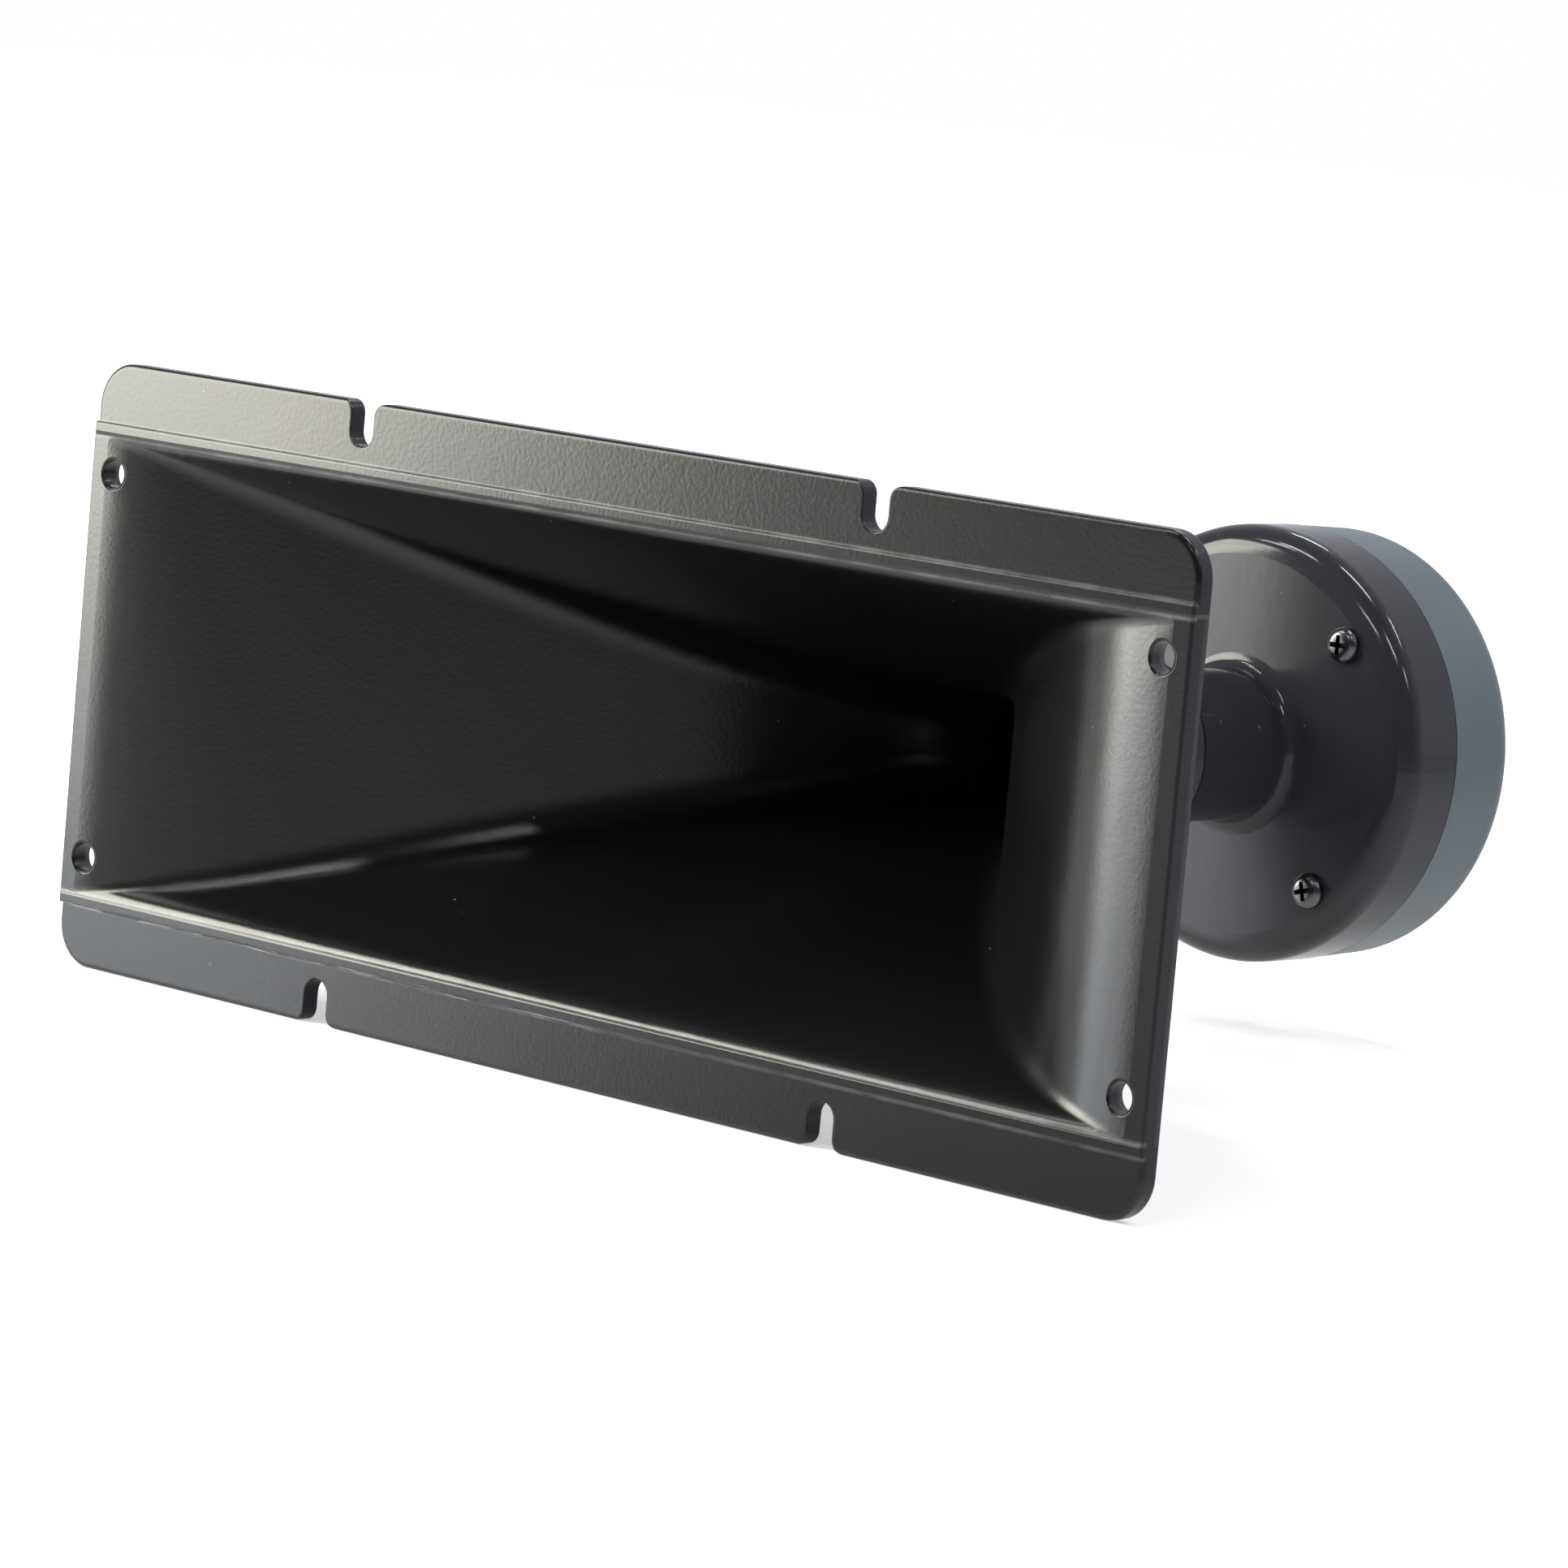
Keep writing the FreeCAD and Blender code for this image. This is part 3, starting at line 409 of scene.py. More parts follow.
    def rounding(self, tree: Tree, place: Socket) -> Value:
        """Widens the radius in the flare's creases, most of all near the mouth.

        Args:
            tree: The material's node tree.
            place: Object coordinates.

        Returns:
            The radius in metres.
        """
        depth, up = add_node(tree, "SeparateXYZ", {0: place}).outputs[1:]
        height = add_node(tree, "Math", {0: up}, operation="ABSOLUTE").outputs[0]
        edge = self.mouth_height + self.crease_margin
        share = masked(tree, Ramp(height, edge * MM, (edge + self.crease_edge) * MM, 1.0, 0.0),
                       Ramp(depth, self.crease_from * MM, self.crease_full * MM),
                       Ramp(depth, self.crease_fades * MM, self.crease_ends * MM, 1.0, 0.0))
        return add_node(tree, "MapRange", {"Value": share, "To Min": self.rim_radius * MM,
                                           "To Max": self.crease_radius * MM}).outputs[0]

    def relief(self, tree: Tree, place: Socket) -> Socket:
        """Adds the round rims of the mouth and the corner holes to the grain.

        Args:
            tree: The material's node tree.
            place: Object coordinates.

        Returns:
            A height in millimetres.
        """
        relief = super().relief(tree, place)
        mirrored = add_node(tree, "VectorMath", {0: place}, operation="ABSOLUTE").outputs[0]
        across, _, height = add_node(tree, "SeparateXYZ", {0: mirrored}).outputs
        flat = add_node(tree, "CombineXYZ", {0: across, 2: height}).outputs[0]
        hole = tuple(v * MM for v in self.hole_place)
        reach = add_node(tree, "VectorMath", {0: flat, 1: hole}, operation="DISTANCE").outputs["Value"]
        for distance, start, width in ((reach, self.hole_radius, self.hole_rounding),
                                       (height, self.mouth_height, self.mouth_rounding)):
            rise = add_node(tree, "MapRange", {"Value": distance, "From Min": start * MM,
                                               "From Max": (start + width) * MM, "To Min": -width / 2,
                                               "To Max": 0.0}, interpolation_type="SMOOTHSTEP")
            relief = add_node(tree, "Math", {0: relief, 1: rise.outputs[0]}, operation="ADD").outputs[0]
        return relief


@dataclass(frozen=True)
class Metal:
    """Bare or plated metal, with the fine marks of how its surface was made.

    The marks spread each highlight unevenly, so that the metal looks drawn, rolled or plated and not
    like a mirror. Real ones are a few hundredths wide and wouldn't show, so they are drawn 0.3 mm wide.
    """

    name: str
    colour: str
    roughness: float
    mark: float = 0.3
    mark_depth: float = 0.004
    mark_detail: float = 3.0
    gloss_drift: float = 0.25

    def build(self) -> bpy.types.Material:
        """Makes the material.

        Returns:
            The material.
        """
        material, tree = new_material(self.name)
        place = add_node(tree, "TexCoord").outputs["Object"]
        fine = add_node(tree, "TexNoise", {"Vector": place, "Scale": 1 / (self.mark * MM),
                                           "Detail": self.mark_detail})
        gloss = add_node(tree, "MapRange", {"Value": fine.outputs["Fac"],
                                            "To Min": self.roughness * (1 - self.gloss_drift),
                                            "To Max": self.roughness * (1 + self.gloss_drift)})
        bump = add_node(tree, "Bump", {"Height": fine.outputs["Fac"], "Distance": self.mark_depth * MM})
        shader = add_node(tree, "BsdfPrincipled", {"Base Color": linear(self.colour), "Metallic": 1.0,
                                                   "Roughness": gloss.outputs["Result"],
                                                   "Normal": bump.outputs["Normal"]})
        add_node(tree, "OutputMaterial", {"Surface": shader.outputs[0]})
        return material


Finish = Union[MouldedPlastic, Metal]

# Polished ABS: dark and deep, with sharp lines of light. The slight waviness of the moulding, drawn
# 2.5 mm wide, bends them a little, and handling has dulled it.
COVER_ABS = MouldedPlastic("black_abs_polished", "#36373c", 0.12, grain=2.5, grain_depth=0.006,
                           dust_spacing=4.5, dust_size=0.35, ior=Ior.ABS_HANDLED)
# Satin ABS: its grain, really about 0.1 mm, is drawn 0.8 mm coarse to show, and turns the light into a
# soft cloudy sheen over a blue grey that isn't quite even.
HOUSING_ABS = MouldedPlastic("blue_grey_abs_satin", "#6a757b", 0.4, grain=0.8, grain_depth=0.03, drift=0.2,
                             drift_size=25.0, dust_spacing=8.0, dust_size=0.3, rim_radius=0.3)
# Moulded rubber: next to no gloss, so the seam reads as a thin dark line.
SEAL_RUBBER = MouldedPlastic("black_rubber_moulded", "#121212", 0.7, ior=Ior.RUBBER)
# Black nickel on steel: a dark mirror with small hard highlights on the rolled rim.
SCREW_BLACK = Metal("steel_black_nickel_plated", "#6a6a6c", 0.26)
# Recess walls: a darker, duller metal than the head, painted shade so that the cross reads dark.
SHADED_RECESS_BLACK = Metal("steel_black_recess_painted_shade", "#1c1c1e", 0.45)
SHADED_RECESS_ZINC = Metal("steel_zinc_recess_painted_shade", "#4a4a46", 0.45)
# Plain moulded ABS: an even, quiet black, not meant to be seen.
PLUG_ABS = MouldedPlastic("black_abs_moulded", "#1c1c1c", 0.45)
# Formed titanium foil: a warm grey metal with one soft highlight over the dome.
DOME_FILM = Metal("titanium_foil_formed", "#b9b6ae", 0.25)
# Formed and rolled polymer films: amber, with a wet-looking gloss.
SURROUND_FILM = MouldedPlastic("amber_film_formed", "#9a6a2a", 0.25, ior=Ior.FILM)
FORMER_FOIL = MouldedPlastic("amber_polyimide_rolled", "#8a5a18", 0.3, ior=Ior.FILM)
# Enamelled copper: each turn of wire draws its own fine line of light.
COPPER_WIRE = Metal("copper_enamelled", "#b5651d", 0.25)
# Zinc plating: a pale, slightly blurred grey.
SCREW_ZINC = Metal("steel_zinc_plated", "#b8b8b0", 0.3)
# Tin plating on brass: warmer and whiter than zinc.
BRASS_PLATED = Metal("brass_tin_plated", "#c9c2ad", 0.3)
# Closed-cell foam and pressed felt: pores and fibres break up all gloss.
FOAM = MouldedPlastic("black_foam_closed_cell", "#1a1a1a", 0.9, grain=0.5, grain_depth=0.1)
FELT = MouldedPlastic("grey_felt_pressed", "#6a6a66", 0.95, grain=0.3, grain_depth=0.1)
# Rolled plate under zinc: a broad grey sheen.
PLATE_STEEL = Metal("steel_plate_zinc_plated", "#a8a8a0", 0.35)
# Ground ferrite: near black with the hard, even sheen of a ceramic.
FERRITE = MouldedPlastic("ferrite_ground", "#2a2a2c", 0.5, grain=0.25, ior=Ior.FERRITE)
# Phenolic laminate: brown paper layers that mottle every few millimetres under a thin resin gloss.
LAMINATE = MouldedPlastic("brown_phenolic_laminate", "#5a3a20", 0.45, grain=0.6, grain_depth=0.02, drift=0.25,
                          drift_size=3.0)
# Drawn brass: a dull yellow, as it has tarnished.
RIVET_BRASS = Metal("brass_drawn", "#a8905e", 0.4)
# Extruded PVC: smooth insulation with a long soft highlight along it.
LEAD_RED = MouldedPlastic("red_pvc_extruded", "#8a1414", 0.4)
LEAD_BLACK = MouldedPlastic("black_pvc_extruded", "#181818", 0.4)


def dressed(finish: Finish) -> bpy.types.Material:
    """Returns a finish's material, made on first use."""
    return bpy.data.materials.get(finish.name) or finish.build()


def begin(name: str) -> None:
    """Deselects everything before a primitive is added, and reports the piece."""
    bpy.ops.object.select_all(action="DESELECT")
    log.info("modelling %s", name)


def pick(piece: bpy.types.Object, kind: Element, wanted: Callable[[Vector], bool]) -> None:
    """Selects the corners, edges or faces whose middle passes a test, in edit mode.

    Args:
        piece: The object in edit mode.
        kind: What is picked.
        wanted: The test of a middle, in metres.
    """
    bpy.ops.mesh.select_mode(type=kind.value)
    bpy.ops.mesh.select_all(action="DESELECT")
    shape = bmesh.from_edit_mesh(piece.data)
    for part in {Element.CORNER: shape.verts, Element.EDGE: shape.edges, Element.FACE: shape.faces}[kind]:
        corners = [part.co] if kind is Element.CORNER else [v.co for v in part.verts]
        part.select_set(wanted(sum(corners, Vector()) / len(corners)))
    shape.select_flush_mode()
    bmesh.update_edit_mesh(piece.data)


def settle(piece: bpy.types.Object) -> None:
    """Merges doubles and turns the faces outwards, then leaves edit mode with the place in the mesh.

    Args:
        piece: The object in edit mode.
    """
    bpy.ops.mesh.select_all(action="SELECT")
    bpy.ops.mesh.remove_doubles(threshold=MERGE * MM)
    bpy.ops.mesh.normals_make_consistent(inside=False)
    bpy.ops.object.mode_set(mode="OBJECT")
    bpy.ops.object.transform_apply(location=True, rotation=True, scale=True)
    log.info("%s has %d faces", piece.name, len(piece.data.polygons))


@dataclass(frozen=True)
class PanScrew:
    """One pan-head thread-forming screw with a tapered cross recess, head up at the origin.

    A size whose name ends in share is a part of the head's height, or of the width that it narrows.
    """

    finish: Metal
    # The recess's finish is a darker metal: painted shade in the cross.
    recess_shade_finish: Metal
    head_width: float
    head_height: float
    thread_width: float
    length: float
    pitch: float
    recess_span: float
    recess_width: float
    recess_depth: float
    root_share: float = 0.74
    rolled_share: float = 0.8
    rolled_steps: int = 10
    broken_share: float = 0.06
    broken_steps: int = 2
    rim_reach: float = 0.01
    recess_taper: float = 0.45
    sunk_share: float = 0.3
    tip_share: float = 0.15
    facets: int = 64
    thread_steps: int = 32
    spare_turns: int = 2
    turns_above: int = 2
    smooth_to: float = 35.0

    @property
    def crest(self) -> float:
        """Radius over the thread, in metres."""
        return self.thread_width / 2 * MM

    @property
    def root(self) -> float:
        """Radius under the thread, in metres."""
        return self.crest * self.root_share

    @property
    def turns(self) -> int:
        """Turns that are wound before the two ends are trimmed."""
        return math.ceil(self.length / self.pitch) + self.spare_turns

    def model_head(self) -> bpy.types.Object:
        """Models the pan head: a disc with its upper rim rolled over and its lower one broken.

        Returns:
            The head, with both finishes in its slots.
        """
        begin("pan head")
        height = self.head_height * MM
        bpy.ops.mesh.primitive_cylinder_add(vertices=self.facets, radius=self.head_width / 2 * MM,
                                            depth=height, location=(0, 0, height / 2))
        head = bpy.context.object
        bpy.ops.object.transform_apply(location=True)
        bpy.ops.object.mode_set(mode="EDIT")
        pick(head, Element.EDGE, lambda p: p.z > (1 - self.rim_reach) * height)
        bpy.ops.mesh.bevel(offset=self.rolled_share * height, segments=self.rolled_steps, affect="EDGES")
        pick(head, Element.EDGE, lambda p: p.z < self.rim_reach * height)
        bpy.ops.mesh.bevel(offset=self.broken_share * height, segments=self.broken_steps, affect="EDGES")
        settle(head)
        for finish in (self.finish, self.recess_shade_finish):
            head.data.materials.append(dressed(finish))
        return head

    def model_cutter(self, along_x: float, along_y: float) -> bpy.types.Object:
        """Models the cutter of one slot, which narrows towards its bottom.

        Args:
            along_x: Its size along X at the head's top.
            along_y: Its size along Y there.

        Returns:
            The cutter, whose faces leave the recess's finish behind.
        """
        begin("cross recess")
        top, depth = self.head_height * MM, 2 * self.recess_depth * MM
        bpy.ops.mesh.primitive_cube_add(size=1, location=(0, 0, top),
                                        scale=(along_x * MM, along_y * MM, depth))
        cutter = bpy.context.object
        bpy.ops.object.transform_apply(location=True, scale=True)
        bpy.ops.object.mode_set(mode="EDIT")
        for side, width in ((-1, self.recess_taper), (1, 2 - self.recess_taper)):
            pick(cutter, Element.FACE, lambda p: side * (p.z - top) > depth / 4)
            bpy.ops.transform.resize(value=(width, width, 1))
        settle(cutter)
        for finish in (self.finish, self.recess_shade_finish):
            cutter.data.materials.append(dressed(finish))
        # The recess faces take the second slot, a darker metal that paints shade into the cross.
        for face in cutter.data.polygons:
            face.material_index = 1
        return cutter

    def cut_recess(self, head: bpy.types.Object) -> None:
        """Cuts the cross, as two slots.

        Args:
            head: The head that the cross goes into.
        """
        for sizes in ((self.recess_span, self.recess_width), (self.recess_width, self.recess_span)):
            cutter = self.model_cutter(*sizes)
            bpy.context.view_layer.objects.active = head
            cut = head.modifiers.new("recess", "BOOLEAN")
            cut.operation, cut.solver, cut.object = "DIFFERENCE", "EXACT", cutter
            cut.material_mode = "INDEX"
            bpy.ops.object.modifier_apply(modifier=cut.name)
            bpy.data.objects.remove(cutter)

    def model_profile(self) -> bpy.types.Object:
        """Models the V of one turn, beside the axis at the shank's lower end.

        Returns:
            Three corners joined by two edges.
        """
        begin("threaded shank")
        pitch = self.pitch * MM
        middle = (self.turns_above - self.turns) * pitch
        bpy.ops.mesh.primitive_plane_add(size=pitch, location=(self.root + pitch / 2, 0, middle),
                                         rotation=(QUARTER_TURN, 0, 0))
        profile = bpy.context.object
        bpy.ops.object.transform_apply(location=True, rotation=True)
        bpy.ops.object.mode_set(mode="EDIT")
        pick(profile, Element.CORNER, lambda p: p.x > self.root + pitch / 2)
        bpy.ops.mesh.delete(type="VERT")
        bpy.ops.mesh.select_all(action="SELECT")
        bpy.ops.mesh.subdivide(number_cuts=1)
        pick(profile, Element.CORNER, lambda p: abs(p.z - middle) < pitch / 4)
        bpy.ops.transform.translate(value=(self.crest - self.root, 0, 0))
        bpy.ops.object.mode_set(mode="OBJECT")
        return profile

    def model_shank(self) -> bpy.types.Object:
        """Models the threaded shank: the V wound round the axis, cut square above, pointed below.

        Returns:
            The shank, its top a little way up inside the head.
        """
        shank = self.model_profile()
        wind = shank.modifiers.new("thread", "SCREW")
        wind.steps = wind.render_steps = self.thread_steps
        wind.iterations, wind.screw_offset = self.turns, self.pitch * MM
        wind.use_merge_vertices, wind.merge_threshold = True, MERGE * MM
        bpy.ops.object.modifier_apply(modifier=wind.name)
        bpy.ops.object.mode_set(mode="EDIT")
        bpy.ops.mesh.select_all(action="SELECT")
        bpy.ops.mesh.remove_doubles(threshold=MERGE * MM)
        top, bottom = self.sunk_share * self.head_height * MM, self.root - self.length * MM
        for height, above in ((top, True), (bottom, False)):
            bpy.ops.mesh.select_all(action="SELECT")
            bpy.ops.mesh.bisect(plane_co=(0, 0, height), plane_no=(0, 0, 1), use_fill=True,
                                clear_outer=above, clear_inner=not above)
        bpy.ops.mesh.extrude_region_move(TRANSFORM_OT_translate={"value": (0, 0, -self.root)})
        bpy.ops.transform.resize(value=(self.tip_share, self.tip_share, 1))
        settle(shank)
        return shank

    def model(self) -> bpy.types.Object:
        """Models the whole screw.

        Returns:
            One object, its head's underside at the origin and its shank down.
        """
        head = self.model_head()
        self.cut_recess(head)
        shank = self.model_shank()
        begin("screw")
        for part in (head, shank):
            part.select_set(True)
        bpy.context.view_layer.objects.active = head
        bpy.ops.object.join()
        bpy.ops.object.shade_smooth_by_angle(angle=math.radians(self.smooth_to))
        return head


@dataclass
class ScrewSet:
    """Screws of one size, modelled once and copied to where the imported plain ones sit."""

    node: str
    slot: Slot
    screw: PanScrew
    heads: Heads = Heads.FRONT
    driven_step: float = 0.0

    def solids(self) -> list[list[Vector]]:
        """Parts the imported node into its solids.

        Returns:
            Each solid's corners in metres, in the source's order.
        """
        shape = bmesh.new()
        shape.from_mesh(frame["nodes"][self.node].data)
        bmesh.ops.remove_doubles(shape, verts=shape.verts, dist=MERGE * MM)
        found, seen = [], set()
        for corner in shape.verts:
            if corner in seen:
                continue
            solid = fresh = {corner}
            while fresh:
                fresh = {e.other_vert(v) for v in fresh for e in v.link_edges} - solid
                solid = solid | fresh
            seen |= solid
            found.append([v.co.copy() for v in solid])
        shape.free()
        return found

    def seat(self, corners: list[Vector]) -> Vector:
        """Finds the middle of a packed screw's seat, under its head.

        Args:
            corners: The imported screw's corners.

        Returns:
            The place in metres.
        """
        low, high = (Vector(side(p[i] for p in corners) for i in range(3)) for side in (min, max))
        place = (low + high) / 2
        axis = self.heads.value[0]
        place[axis] = low[axis] + self.screw.head_height * MM
        return place

    def build(self) -> None:
        """Models the screw, puts a copy at each seat and dresses it."""
        first = self.screw.model()
        facing = (Matrix.Rotation(math.radians(self.heads.value[1]), 4, "Z")
                  @ Matrix.Rotation(QUARTER_TURN, 4, "X"))
        for i, corners in enumerate(self.solids()):
            driven = Matrix.Rotation(math.radians(self.driven_step * i), 4, "Y")
            mesh = first.data.copy()
            mesh.transform(Matrix.Translation(self.seat(corners)) @ driven @ facing)
            piece = bpy.data.objects.new("%s_%d" % (self.node, i), mesh)
            bpy.context.scene.collection.objects.link(piece)
            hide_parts(self.node)
            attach(piece, Body.FIXED.value)
            log.info("placed %s", piece.name)
        bpy.data.objects.remove(first)


@dataclass
class SubAssembly:
    """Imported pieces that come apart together, each with the finish of its real material."""

    def finishes(self) -> dict[str, Finish]:
        """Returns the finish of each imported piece."""
        return {}

    def model(self) -> None:
        """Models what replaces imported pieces; a sub-assembly that keeps all of its own has nothing here."""

    def build(self) -> None:
        """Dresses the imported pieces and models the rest."""
        for name, finish in self.finishes().items():
            frame["nodes"][name].material_slots[0].material = dressed(finish)
            log.info("dressed %s in %s", name, finish.name)
        self.model()


@dataclass
class Horn(SubAssembly):
    """The horn, one moulding with its flange, raised band, flare, ribs and hub."""

    flange_thickness: float = 3.2
    band_height: float = 90.0
    mouth_height: float = 85.0

    def finishes(self) -> dict[str, Finish]:
        """Lays the horn's wear and its painted rim highlights out on its own sizes and on its corner holes.

        Returns:
            The horn's finish.
        """
        holes = next(m["dims"] for m in frame["record"]["mounts"] if m["name"] == "corner_holes")
        # Spark-eroded ABS: a dark satin skin, on which light fades slowly over the lip. Its texture,
        # really about 0.1 mm, is drawn 0.8 mm coarse so that the bright strips look lightly grained.
        rubbed = RubbedPlastic("charcoal_abs_spark_eroded", "#131315", 0.2, grain=0.8, grain_depth=0.02,
                               dust_spacing=7.0, dust_size=0.35, rim_radius=0.5,
                               band_height=self.band_height / 2, mouth_height=self.mouth_height / 2,
                               face_depth=-self.flange_thickness, hole_radius=holes["hole_r_mm"],
                               hole_place=(holes["spacing_x_mm"] / 2, 0.0, holes["spacing_y_mm"] / 2))
        return {"horn": rubbed}


@dataclass
class DriverCase(SubAssembly):
    """The polished cover, the cup behind it, what seals them, and the four screws that hold them."""

    screw: PanScrew = PanScrew(SCREW_BLACK, SHADED_RECESS_BLACK, head_width=6.8, head_height=2.4, thread_width=3.5,
                               length=25.0, pitch=1.3, recess_span=3.9, recess_width=0.95, recess_depth=1.5)
    driven_step: float = 25.0

    def finishes(self) -> dict[str, Finish]:
        """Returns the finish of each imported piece."""
        return {"front_cover": COVER_ABS, "rear_housing": HOUSING_ABS, "housing_seal": SEAL_RUBBER,
                "cover_gasket": FOAM}

    def model(self) -> None:
        """Drives the cover's screws, each stopped at a turn of its own."""
        ScrewSet("cover_screws", Slot.SCREW_BLACK, self.screw, driven_step=self.driven_step).build()


@dataclass
class DiaphragmSeat(SubAssembly):
    """What holds the diaphragm still at its rim: plug, ring, surround, lugs and three small screws."""

    screw: PanScrew = PanScrew(SCREW_ZINC, SHADED_RECESS_ZINC, head_width=4.4, head_height=1.4, thread_width=2.5,
                               length=6.0, pitch=0.45, recess_span=2.4, recess_width=0.6, recess_depth=0.8,
                               root_share=0.85)
    driven_step: float = 25.0

    def finishes(self) -> dict[str, Finish]:
        """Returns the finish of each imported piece."""
        return {"phase_plug": PLUG_ABS, "diaphragm_ring": PLUG_ABS, "surround": SURROUND_FILM,
                "diaphragm_lugs": BRASS_PLATED}

    def model(self) -> None:
        """Drives the ring's screws."""
        ScrewSet("diaphragm_ring_screws", Slot.SCREW_ZINC, self.screw, driven_step=self.driven_step).build()


@dataclass
class Motor(SubAssembly):
    """The magnet between its plate and its yoke, with the felt on the pole."""

    def finishes(self) -> dict[str, Finish]:
        """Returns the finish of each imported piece."""
        return {"top_plate": PLATE_STEEL, "magnet_ring": FERRITE, "pole_yoke": PLATE_STEEL, "pole_pad": FELT}


@dataclass
class Terminals(SubAssembly):
    """The board with its riveted tabs, its two screws, and the leads to the diaphragm."""

    screw: PanScrew = PanScrew(SCREW_ZINC, SHADED_RECESS_ZINC, head_width=3.6, head_height=1.1, thread_width=2.2,
                               length=6.0, pitch=0.8, recess_span=2.0, recess_width=0.5, recess_depth=0.6)

    def finishes(self) -> dict[str, Finish]:
        """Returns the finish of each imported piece."""
        return {"terminal_board": LAMINATE, "terminal_rivets": RIVET_BRASS, "terminal_positive": BRASS_PLATED,
                "terminal_negative": BRASS_PLATED, "lead_positive": LEAD_RED, "lead_negative": LEAD_BLACK}

    def model(self) -> None:
        """Drives the board's screws."""
        ScrewSet("board_screws", Slot.SCREW_ZINC, self.screw, Heads.LEFT).build()


@dataclass
class Diaphragm(SubAssembly):
    """What moves: the dome, its former, and the coil wound on it in layers of enamelled wire."""

    wire: float = 0.2
    bare_share: float = 0.98
    layers: int = 2
    steps: int = 64
    facets: int = 8

    def finishes(self) -> dict[str, Finish]:
        """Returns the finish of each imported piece."""
        return {"diaphragm_dome": DOME_FILM, "voice_coil_former": FORMER_FOIL}

    def wind_layer(self, layer: int, radius: float, turns: int) -> bpy.types.Object:
        """Winds one layer as a round section swept up the axis.

        Args:
            layer: The layer's number from the inside.
            radius: From the axis to the wire's middle, in metres.
            turns: How many turns lie side by side.

        Returns:
            The layer, its axis along Z.
        """
        begin("voice coil layer %d" % layer)
        bpy.ops.mesh.primitive_circle_add(vertices=self.facets, radius=self.wire * self.bare_share / 2 * MM,
                                          location=(radius, 0, 0), rotation=(QUARTER_TURN, 0, 0))
        wire = bpy.context.object
        bpy.ops.object.transform_apply(location=True, rotation=True)
        wind = wire.modifiers.new("winding", "SCREW")
        wind.steps = wind.render_steps = self.steps
        wind.iterations, wind.screw_offset = turns, self.wire * MM
        bpy.ops.object.modifier_apply(modifier=wind.name)
        bpy.ops.object.mode_set(mode="EDIT")
        bpy.ops.mesh.select_all(action="SELECT")
        bpy.ops.mesh.fill_holes(sides=self.facets)
        settle(wire)
        bpy.ops.object.shade_smooth()
        return wire

    def model(self) -> None:
        """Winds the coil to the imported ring's width and height, and puts it in the ring's place."""
        low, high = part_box("voice_coil")
        wire = self.wire * MM
        inner = high.z - self.layers * wire
        turns = round((high.y - low.y) / wire) - 1
        layers = [self.wind_layer(i, inner + wire * (i + 0.5), turns) for i in range(self.layers)]
        begin("voice coil")
        for layer in layers:
            layer.select_set(True)
        coil = layers[0]
        bpy.context.view_layer.objects.active = coil
        bpy.ops.object.join()
        coil.name = "voice_coil_winding"
        facing = Matrix.Rotation(-QUARTER_TURN, 4, "X")
        coil.data.transform(Matrix.Translation((0, low.y + wire / 2, 0)) @ facing)
        coil.data.materials.append(dressed(COPPER_WIRE))
        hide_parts("voice_coil")
        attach(coil, Body.DIAPHRAGM.value)


@dataclass
class Lamp:
    """One soft box or strip lamp, as a rectangle that faces its aim."""

    name: str
    place: Place
    aim: Place
    width: float
    height: float
    watts: float
    colour: str = "#ffffff"

    def build(self) -> None:
        """Makes the lamp, which the camera doesn't see."""
        data = bpy.data.lights.new(self.name, "AREA")
        data.shape = "RECTANGLE"
        data.size = self.width * MM
        data.size_y = self.height * MM
        data.energy = self.watts
        data.color = linear(self.colour)[:3]
        lamp = bpy.data.objects.new(self.name, data)
        bpy.context.scene.collection.objects.link(lamp)
        place = Vector(self.place) * MM
        lamp.location = place
        lamp.rotation_euler = (Vector(self.aim) * MM - place).to_track_quat("-Z", "Y").to_euler()
        lamp.visible_camera = False


# The window lights the mouth's lips and the left of the flange; its reflection fades out along the
# strips. The card puts a line of light into the lower left crease.
WINDOW = Lamp("window", (-852, -543, 230), (0, 0, 0), 450, 940, 14.2, "#fdfbef")
CARD = Lamp("card", (-330, -170, 40), (-130, 0, 0), 120, 300, 0.24, "#fdfbef")


@dataclass
class CeilingStrips:
    """Staggered rows of strip lamps, which draw the short bright lines on the driver's shoulder."""

    height: float = 1300.0
    length: float = 440.0
    width: float = 60.0
    watts: float = 3.0
    places: tuple[tuple[float, float], ...] = ((-685, 1100), (775, 1150), (190, 415), (1845, 380),
                                               (1135, -165), (495, -915), (-560, -430), (-900, -640))

    def build(self) -> None:
        """Makes the lamps, each facing straight down."""
        for i, (x, y) in enumerate(self.places):
            Lamp("strip_%d" % i, (x, y, self.height), (x, y, 0), self.length, self.width, self.watts).build()


@dataclass
class Camera:
    """The photo's viewpoint, from a fit of its outline to the part's sizes."""

    place: Place = (841.6, -856.4, 141.3)
    azimuth: float = 42.955
    elevation: float = 6.741
    roll: float = 5.107
    lens: float = 160.32
    sensor: float = 36.0

    def build(self) -> None:
        """Makes the camera and looks through it."""
        data = bpy.data.cameras.new("camera")
        data.lens = self.lens
        data.sensor_width = self.sensor
        camera = bpy.data.objects.new("camera", data)
        bpy.context.scene.collection.objects.link(camera)
        turn = (Matrix.Rotation(math.radians(self.azimuth), 4, "Z")
                @ Matrix.Rotation(math.radians(90 - self.elevation), 4, "X")
                @ Matrix.Rotation(math.radians(self.roll), 4, "Z"))
        camera.matrix_world = Matrix.Translation(Vector(self.place) * MM) @ turn
        bpy.context.scene.camera = camera


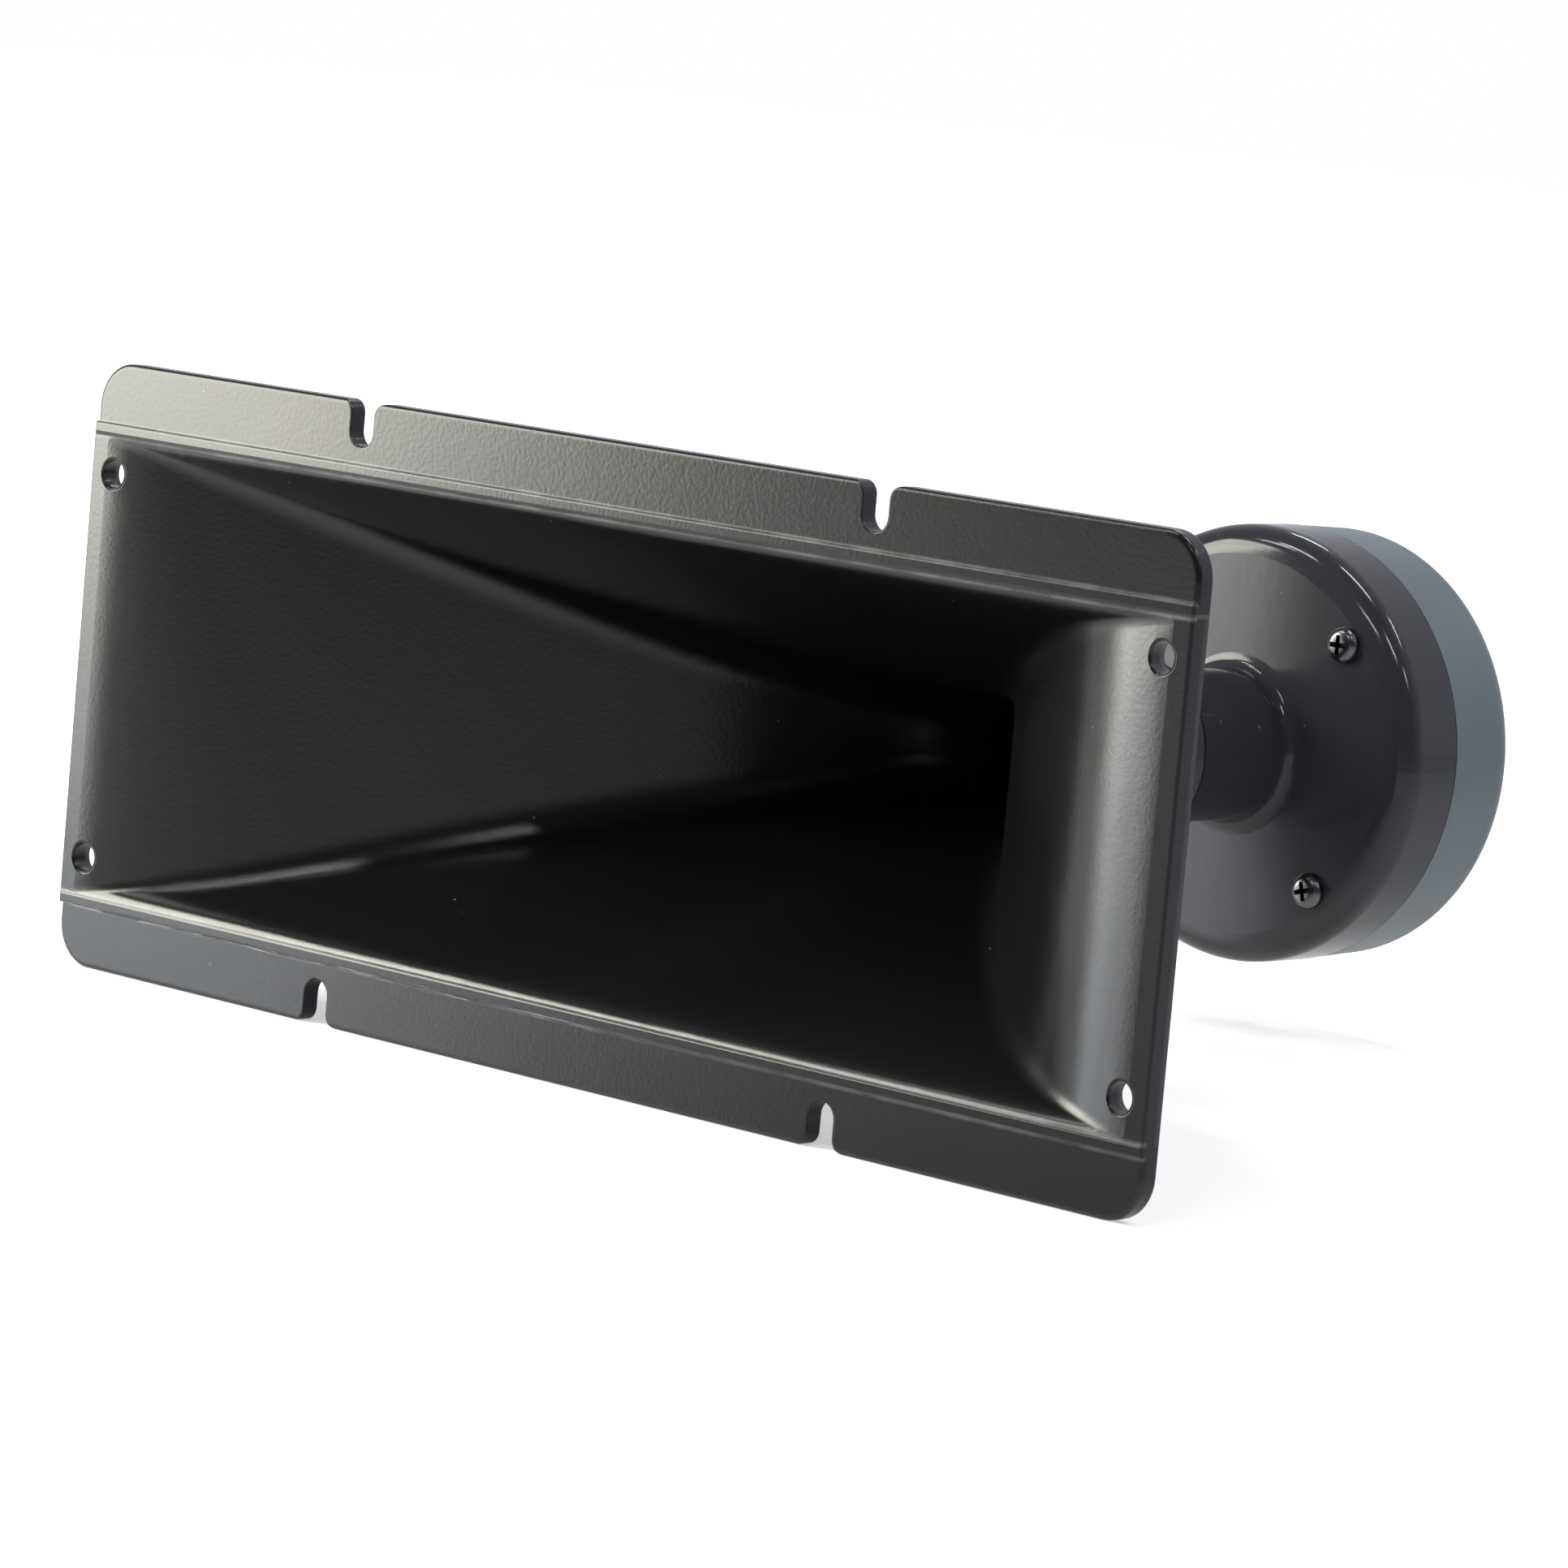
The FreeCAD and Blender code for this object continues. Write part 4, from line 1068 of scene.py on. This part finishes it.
@dataclass
class Studio:
    """Pale floor, a white wall behind the part, a dimmer room in front of it, and the lamps.

    Wall, room, fill and the glows are strengths, of which 1 is white. Polished black shows what it
    mirrors, so the room and the floor are dimmer in mirrors than to the eye, and grow white far away.
    """

    floor_half: float = 6000.0
    wall: float = 1.0
    room: float = 0.12
    fill: float = 0.24
    room_colour: str = "#eceffa"
    floor_glow: float = 0.5
    glow_start: float = 250.0
    glow_full: float = 900.0
    mirror_full: float = 4000.0
    mirror_glow: float = 0.25
    paint_grain: float = 2.5
    paint_colours: tuple[str, str] = ("#f4f4f4", "#f8f8f8")
    lacquer_roughness: float = 0.15
    lacquer_colour: str = "#bcc3d2"

    def mirrored_rays(self, tree: Tree) -> Socket:
        """Tells rays that left a glossy or clear surface from all others.

        Args:
            tree: The world's or the floor's node tree.

        Returns:
            1 for such a ray and 0 for others.
        """
        rays = add_node(tree, "LightPath").outputs
        return add_node(tree, "Math", {0: rays["Is Glossy Ray"], 1: rays["Is Transmission Ray"]},
                        operation="MAXIMUM").outputs[0]

    def build_world(self) -> None:
        """White to the eye, in mirrors white behind and dimmer in front, and a low even fill."""
        world = bpy.data.worlds.new("pale_studio")
        world.use_nodes = True
        tree = world.node_tree
        tree.nodes.clear()
        seen = add_node(tree, "LightPath").outputs["Is Camera Ray"]
        way = add_node(tree, "TexCoord").outputs["Generated"]
        depth = add_node(tree, "SeparateXYZ", {0: way}).outputs["Y"]
        mirrored = add_node(tree, "MapRange", {"Value": depth, "To Min": self.room, "To Max": self.wall})
        lit = add_node(tree, "MapRange", {"Value": self.mirrored_rays(tree), "To Min": self.fill,
                                          "To Max": mirrored.outputs["Result"]})
        strength = add_node(tree, "MapRange", {"Value": seen, "To Min": lit.outputs["Result"],
                                               "To Max": self.wall})
        tint = add_node(tree, "MixRGB", {0: seen, 1: linear(self.room_colour), 2: WHITE})
        light = add_node(tree, "Background", {"Color": tint.outputs[0],
                                              "Strength": strength.outputs["Result"]})
        add_node(tree, "OutputWorld", {"Surface": light.outputs[0]})
        bpy.context.scene.world = world

    def add_glow(self, tree: Tree, far: Socket) -> bpy.types.Node:
        """Lets the floor fade into the white wall, to the eye and in mirrors.

        Args:
            tree: The floor's node tree.
            far: Distance from the part, in metres.

        Returns:
            The glow's shader node.
        """
        seen = add_node(tree, "LightPath").outputs["Is Camera Ray"]
        strength: Value = 0.0
        for rays, near, full in ((seen, self.floor_glow, self.glow_full),
                                 (self.mirrored_rays(tree), self.mirror_glow, self.mirror_full)):
            fade = add_node(tree, "MapRange", {"Value": far, "From Min": self.glow_start * MM,
                                               "From Max": full * MM, "To Min": near, "To Max": self.wall},
                            interpolation_type="SMOOTHSTEP").outputs["Result"]
            part = add_node(tree, "Math", {0: rays, 1: fade}, operation="MULTIPLY").outputs[0]
            strength = add_node(tree, "Math", {0: strength, 1: part}, operation="ADD").outputs[0]
        return add_node(tree, "Emission", {"Strength": strength})

    def paint(self) -> bpy.types.Material:
        """Makes the floor's material: matt white board to the eye, lacquered at a low angle in mirrors.

        Returns:
            The material.
        """
        material, tree = new_material("painted_board_white")
        place = add_node(tree, "TexCoord").outputs["Object"]
        grain = add_node(tree, "TexNoise", {"Vector": place, "Scale": 1 / (self.paint_grain * MM)})
        tone = add_node(tree, "MixRGB", {0: grain.outputs["Fac"], 1: linear(self.paint_colours[0]),
                                         2: linear(self.paint_colours[1])})
        matt = add_node(tree, "BsdfDiffuse", {"Color": tone.outputs[0]})
        far = add_node(tree, "VectorMath", {0: place}, operation="LENGTH").outputs["Value"]
        both = add_node(tree, "AddShader", {0: matt.outputs[0], 1: self.add_glow(tree, far).outputs[0]})
        lacquer = add_node(tree, "BsdfGlossy", {"Color": linear(self.lacquer_colour),
                                                "Roughness": self.lacquer_roughness})
        edge_on = add_node(tree, "Fresnel", {"IOR": Ior.ABS.value}).outputs[0]
        glossy = add_node(tree, "LightPath").outputs["Is Glossy Ray"]
        share = add_node(tree, "Math", {0: edge_on, 1: glossy}, operation="MULTIPLY")
        board = add_node(tree, "MixShader", {0: share.outputs[0], 1: both.outputs[0], 2: lacquer.outputs[0]})
        add_node(tree, "OutputMaterial", {"Surface": board.outputs[0]})
        return material

    def build_floor(self) -> None:
        """Makes the floor at the flange's lowest edge."""
        bpy.ops.mesh.primitive_plane_add(size=2 * self.floor_half * MM, location=(0, 0, CAD_BOX[0].z))
        floor = bpy.context.object
        floor.name = "floor"
        floor.data.materials.append(self.paint())

    def build(self) -> None:
        """Makes the world, the floor and the lamps."""
        self.build_world()
        self.build_floor()
        for lamps in (WINDOW, CARD, CeilingStrips()):
            lamps.build()
        bpy.context.scene.view_settings.view_transform = "Standard"


def main() -> None:
    """Builds the sub-assemblies, the studio and the camera."""
    logging.basicConfig(level=logging.INFO, format="%(message)s")
    for part in (Horn(), DriverCase(), DiaphragmSeat(), Motor(), Terminals(), Diaphragm(), Studio(),
                 Camera()):
        log.info("building %s", type(part).__name__)
        part.build()


if __name__ == "__main__":
    main()
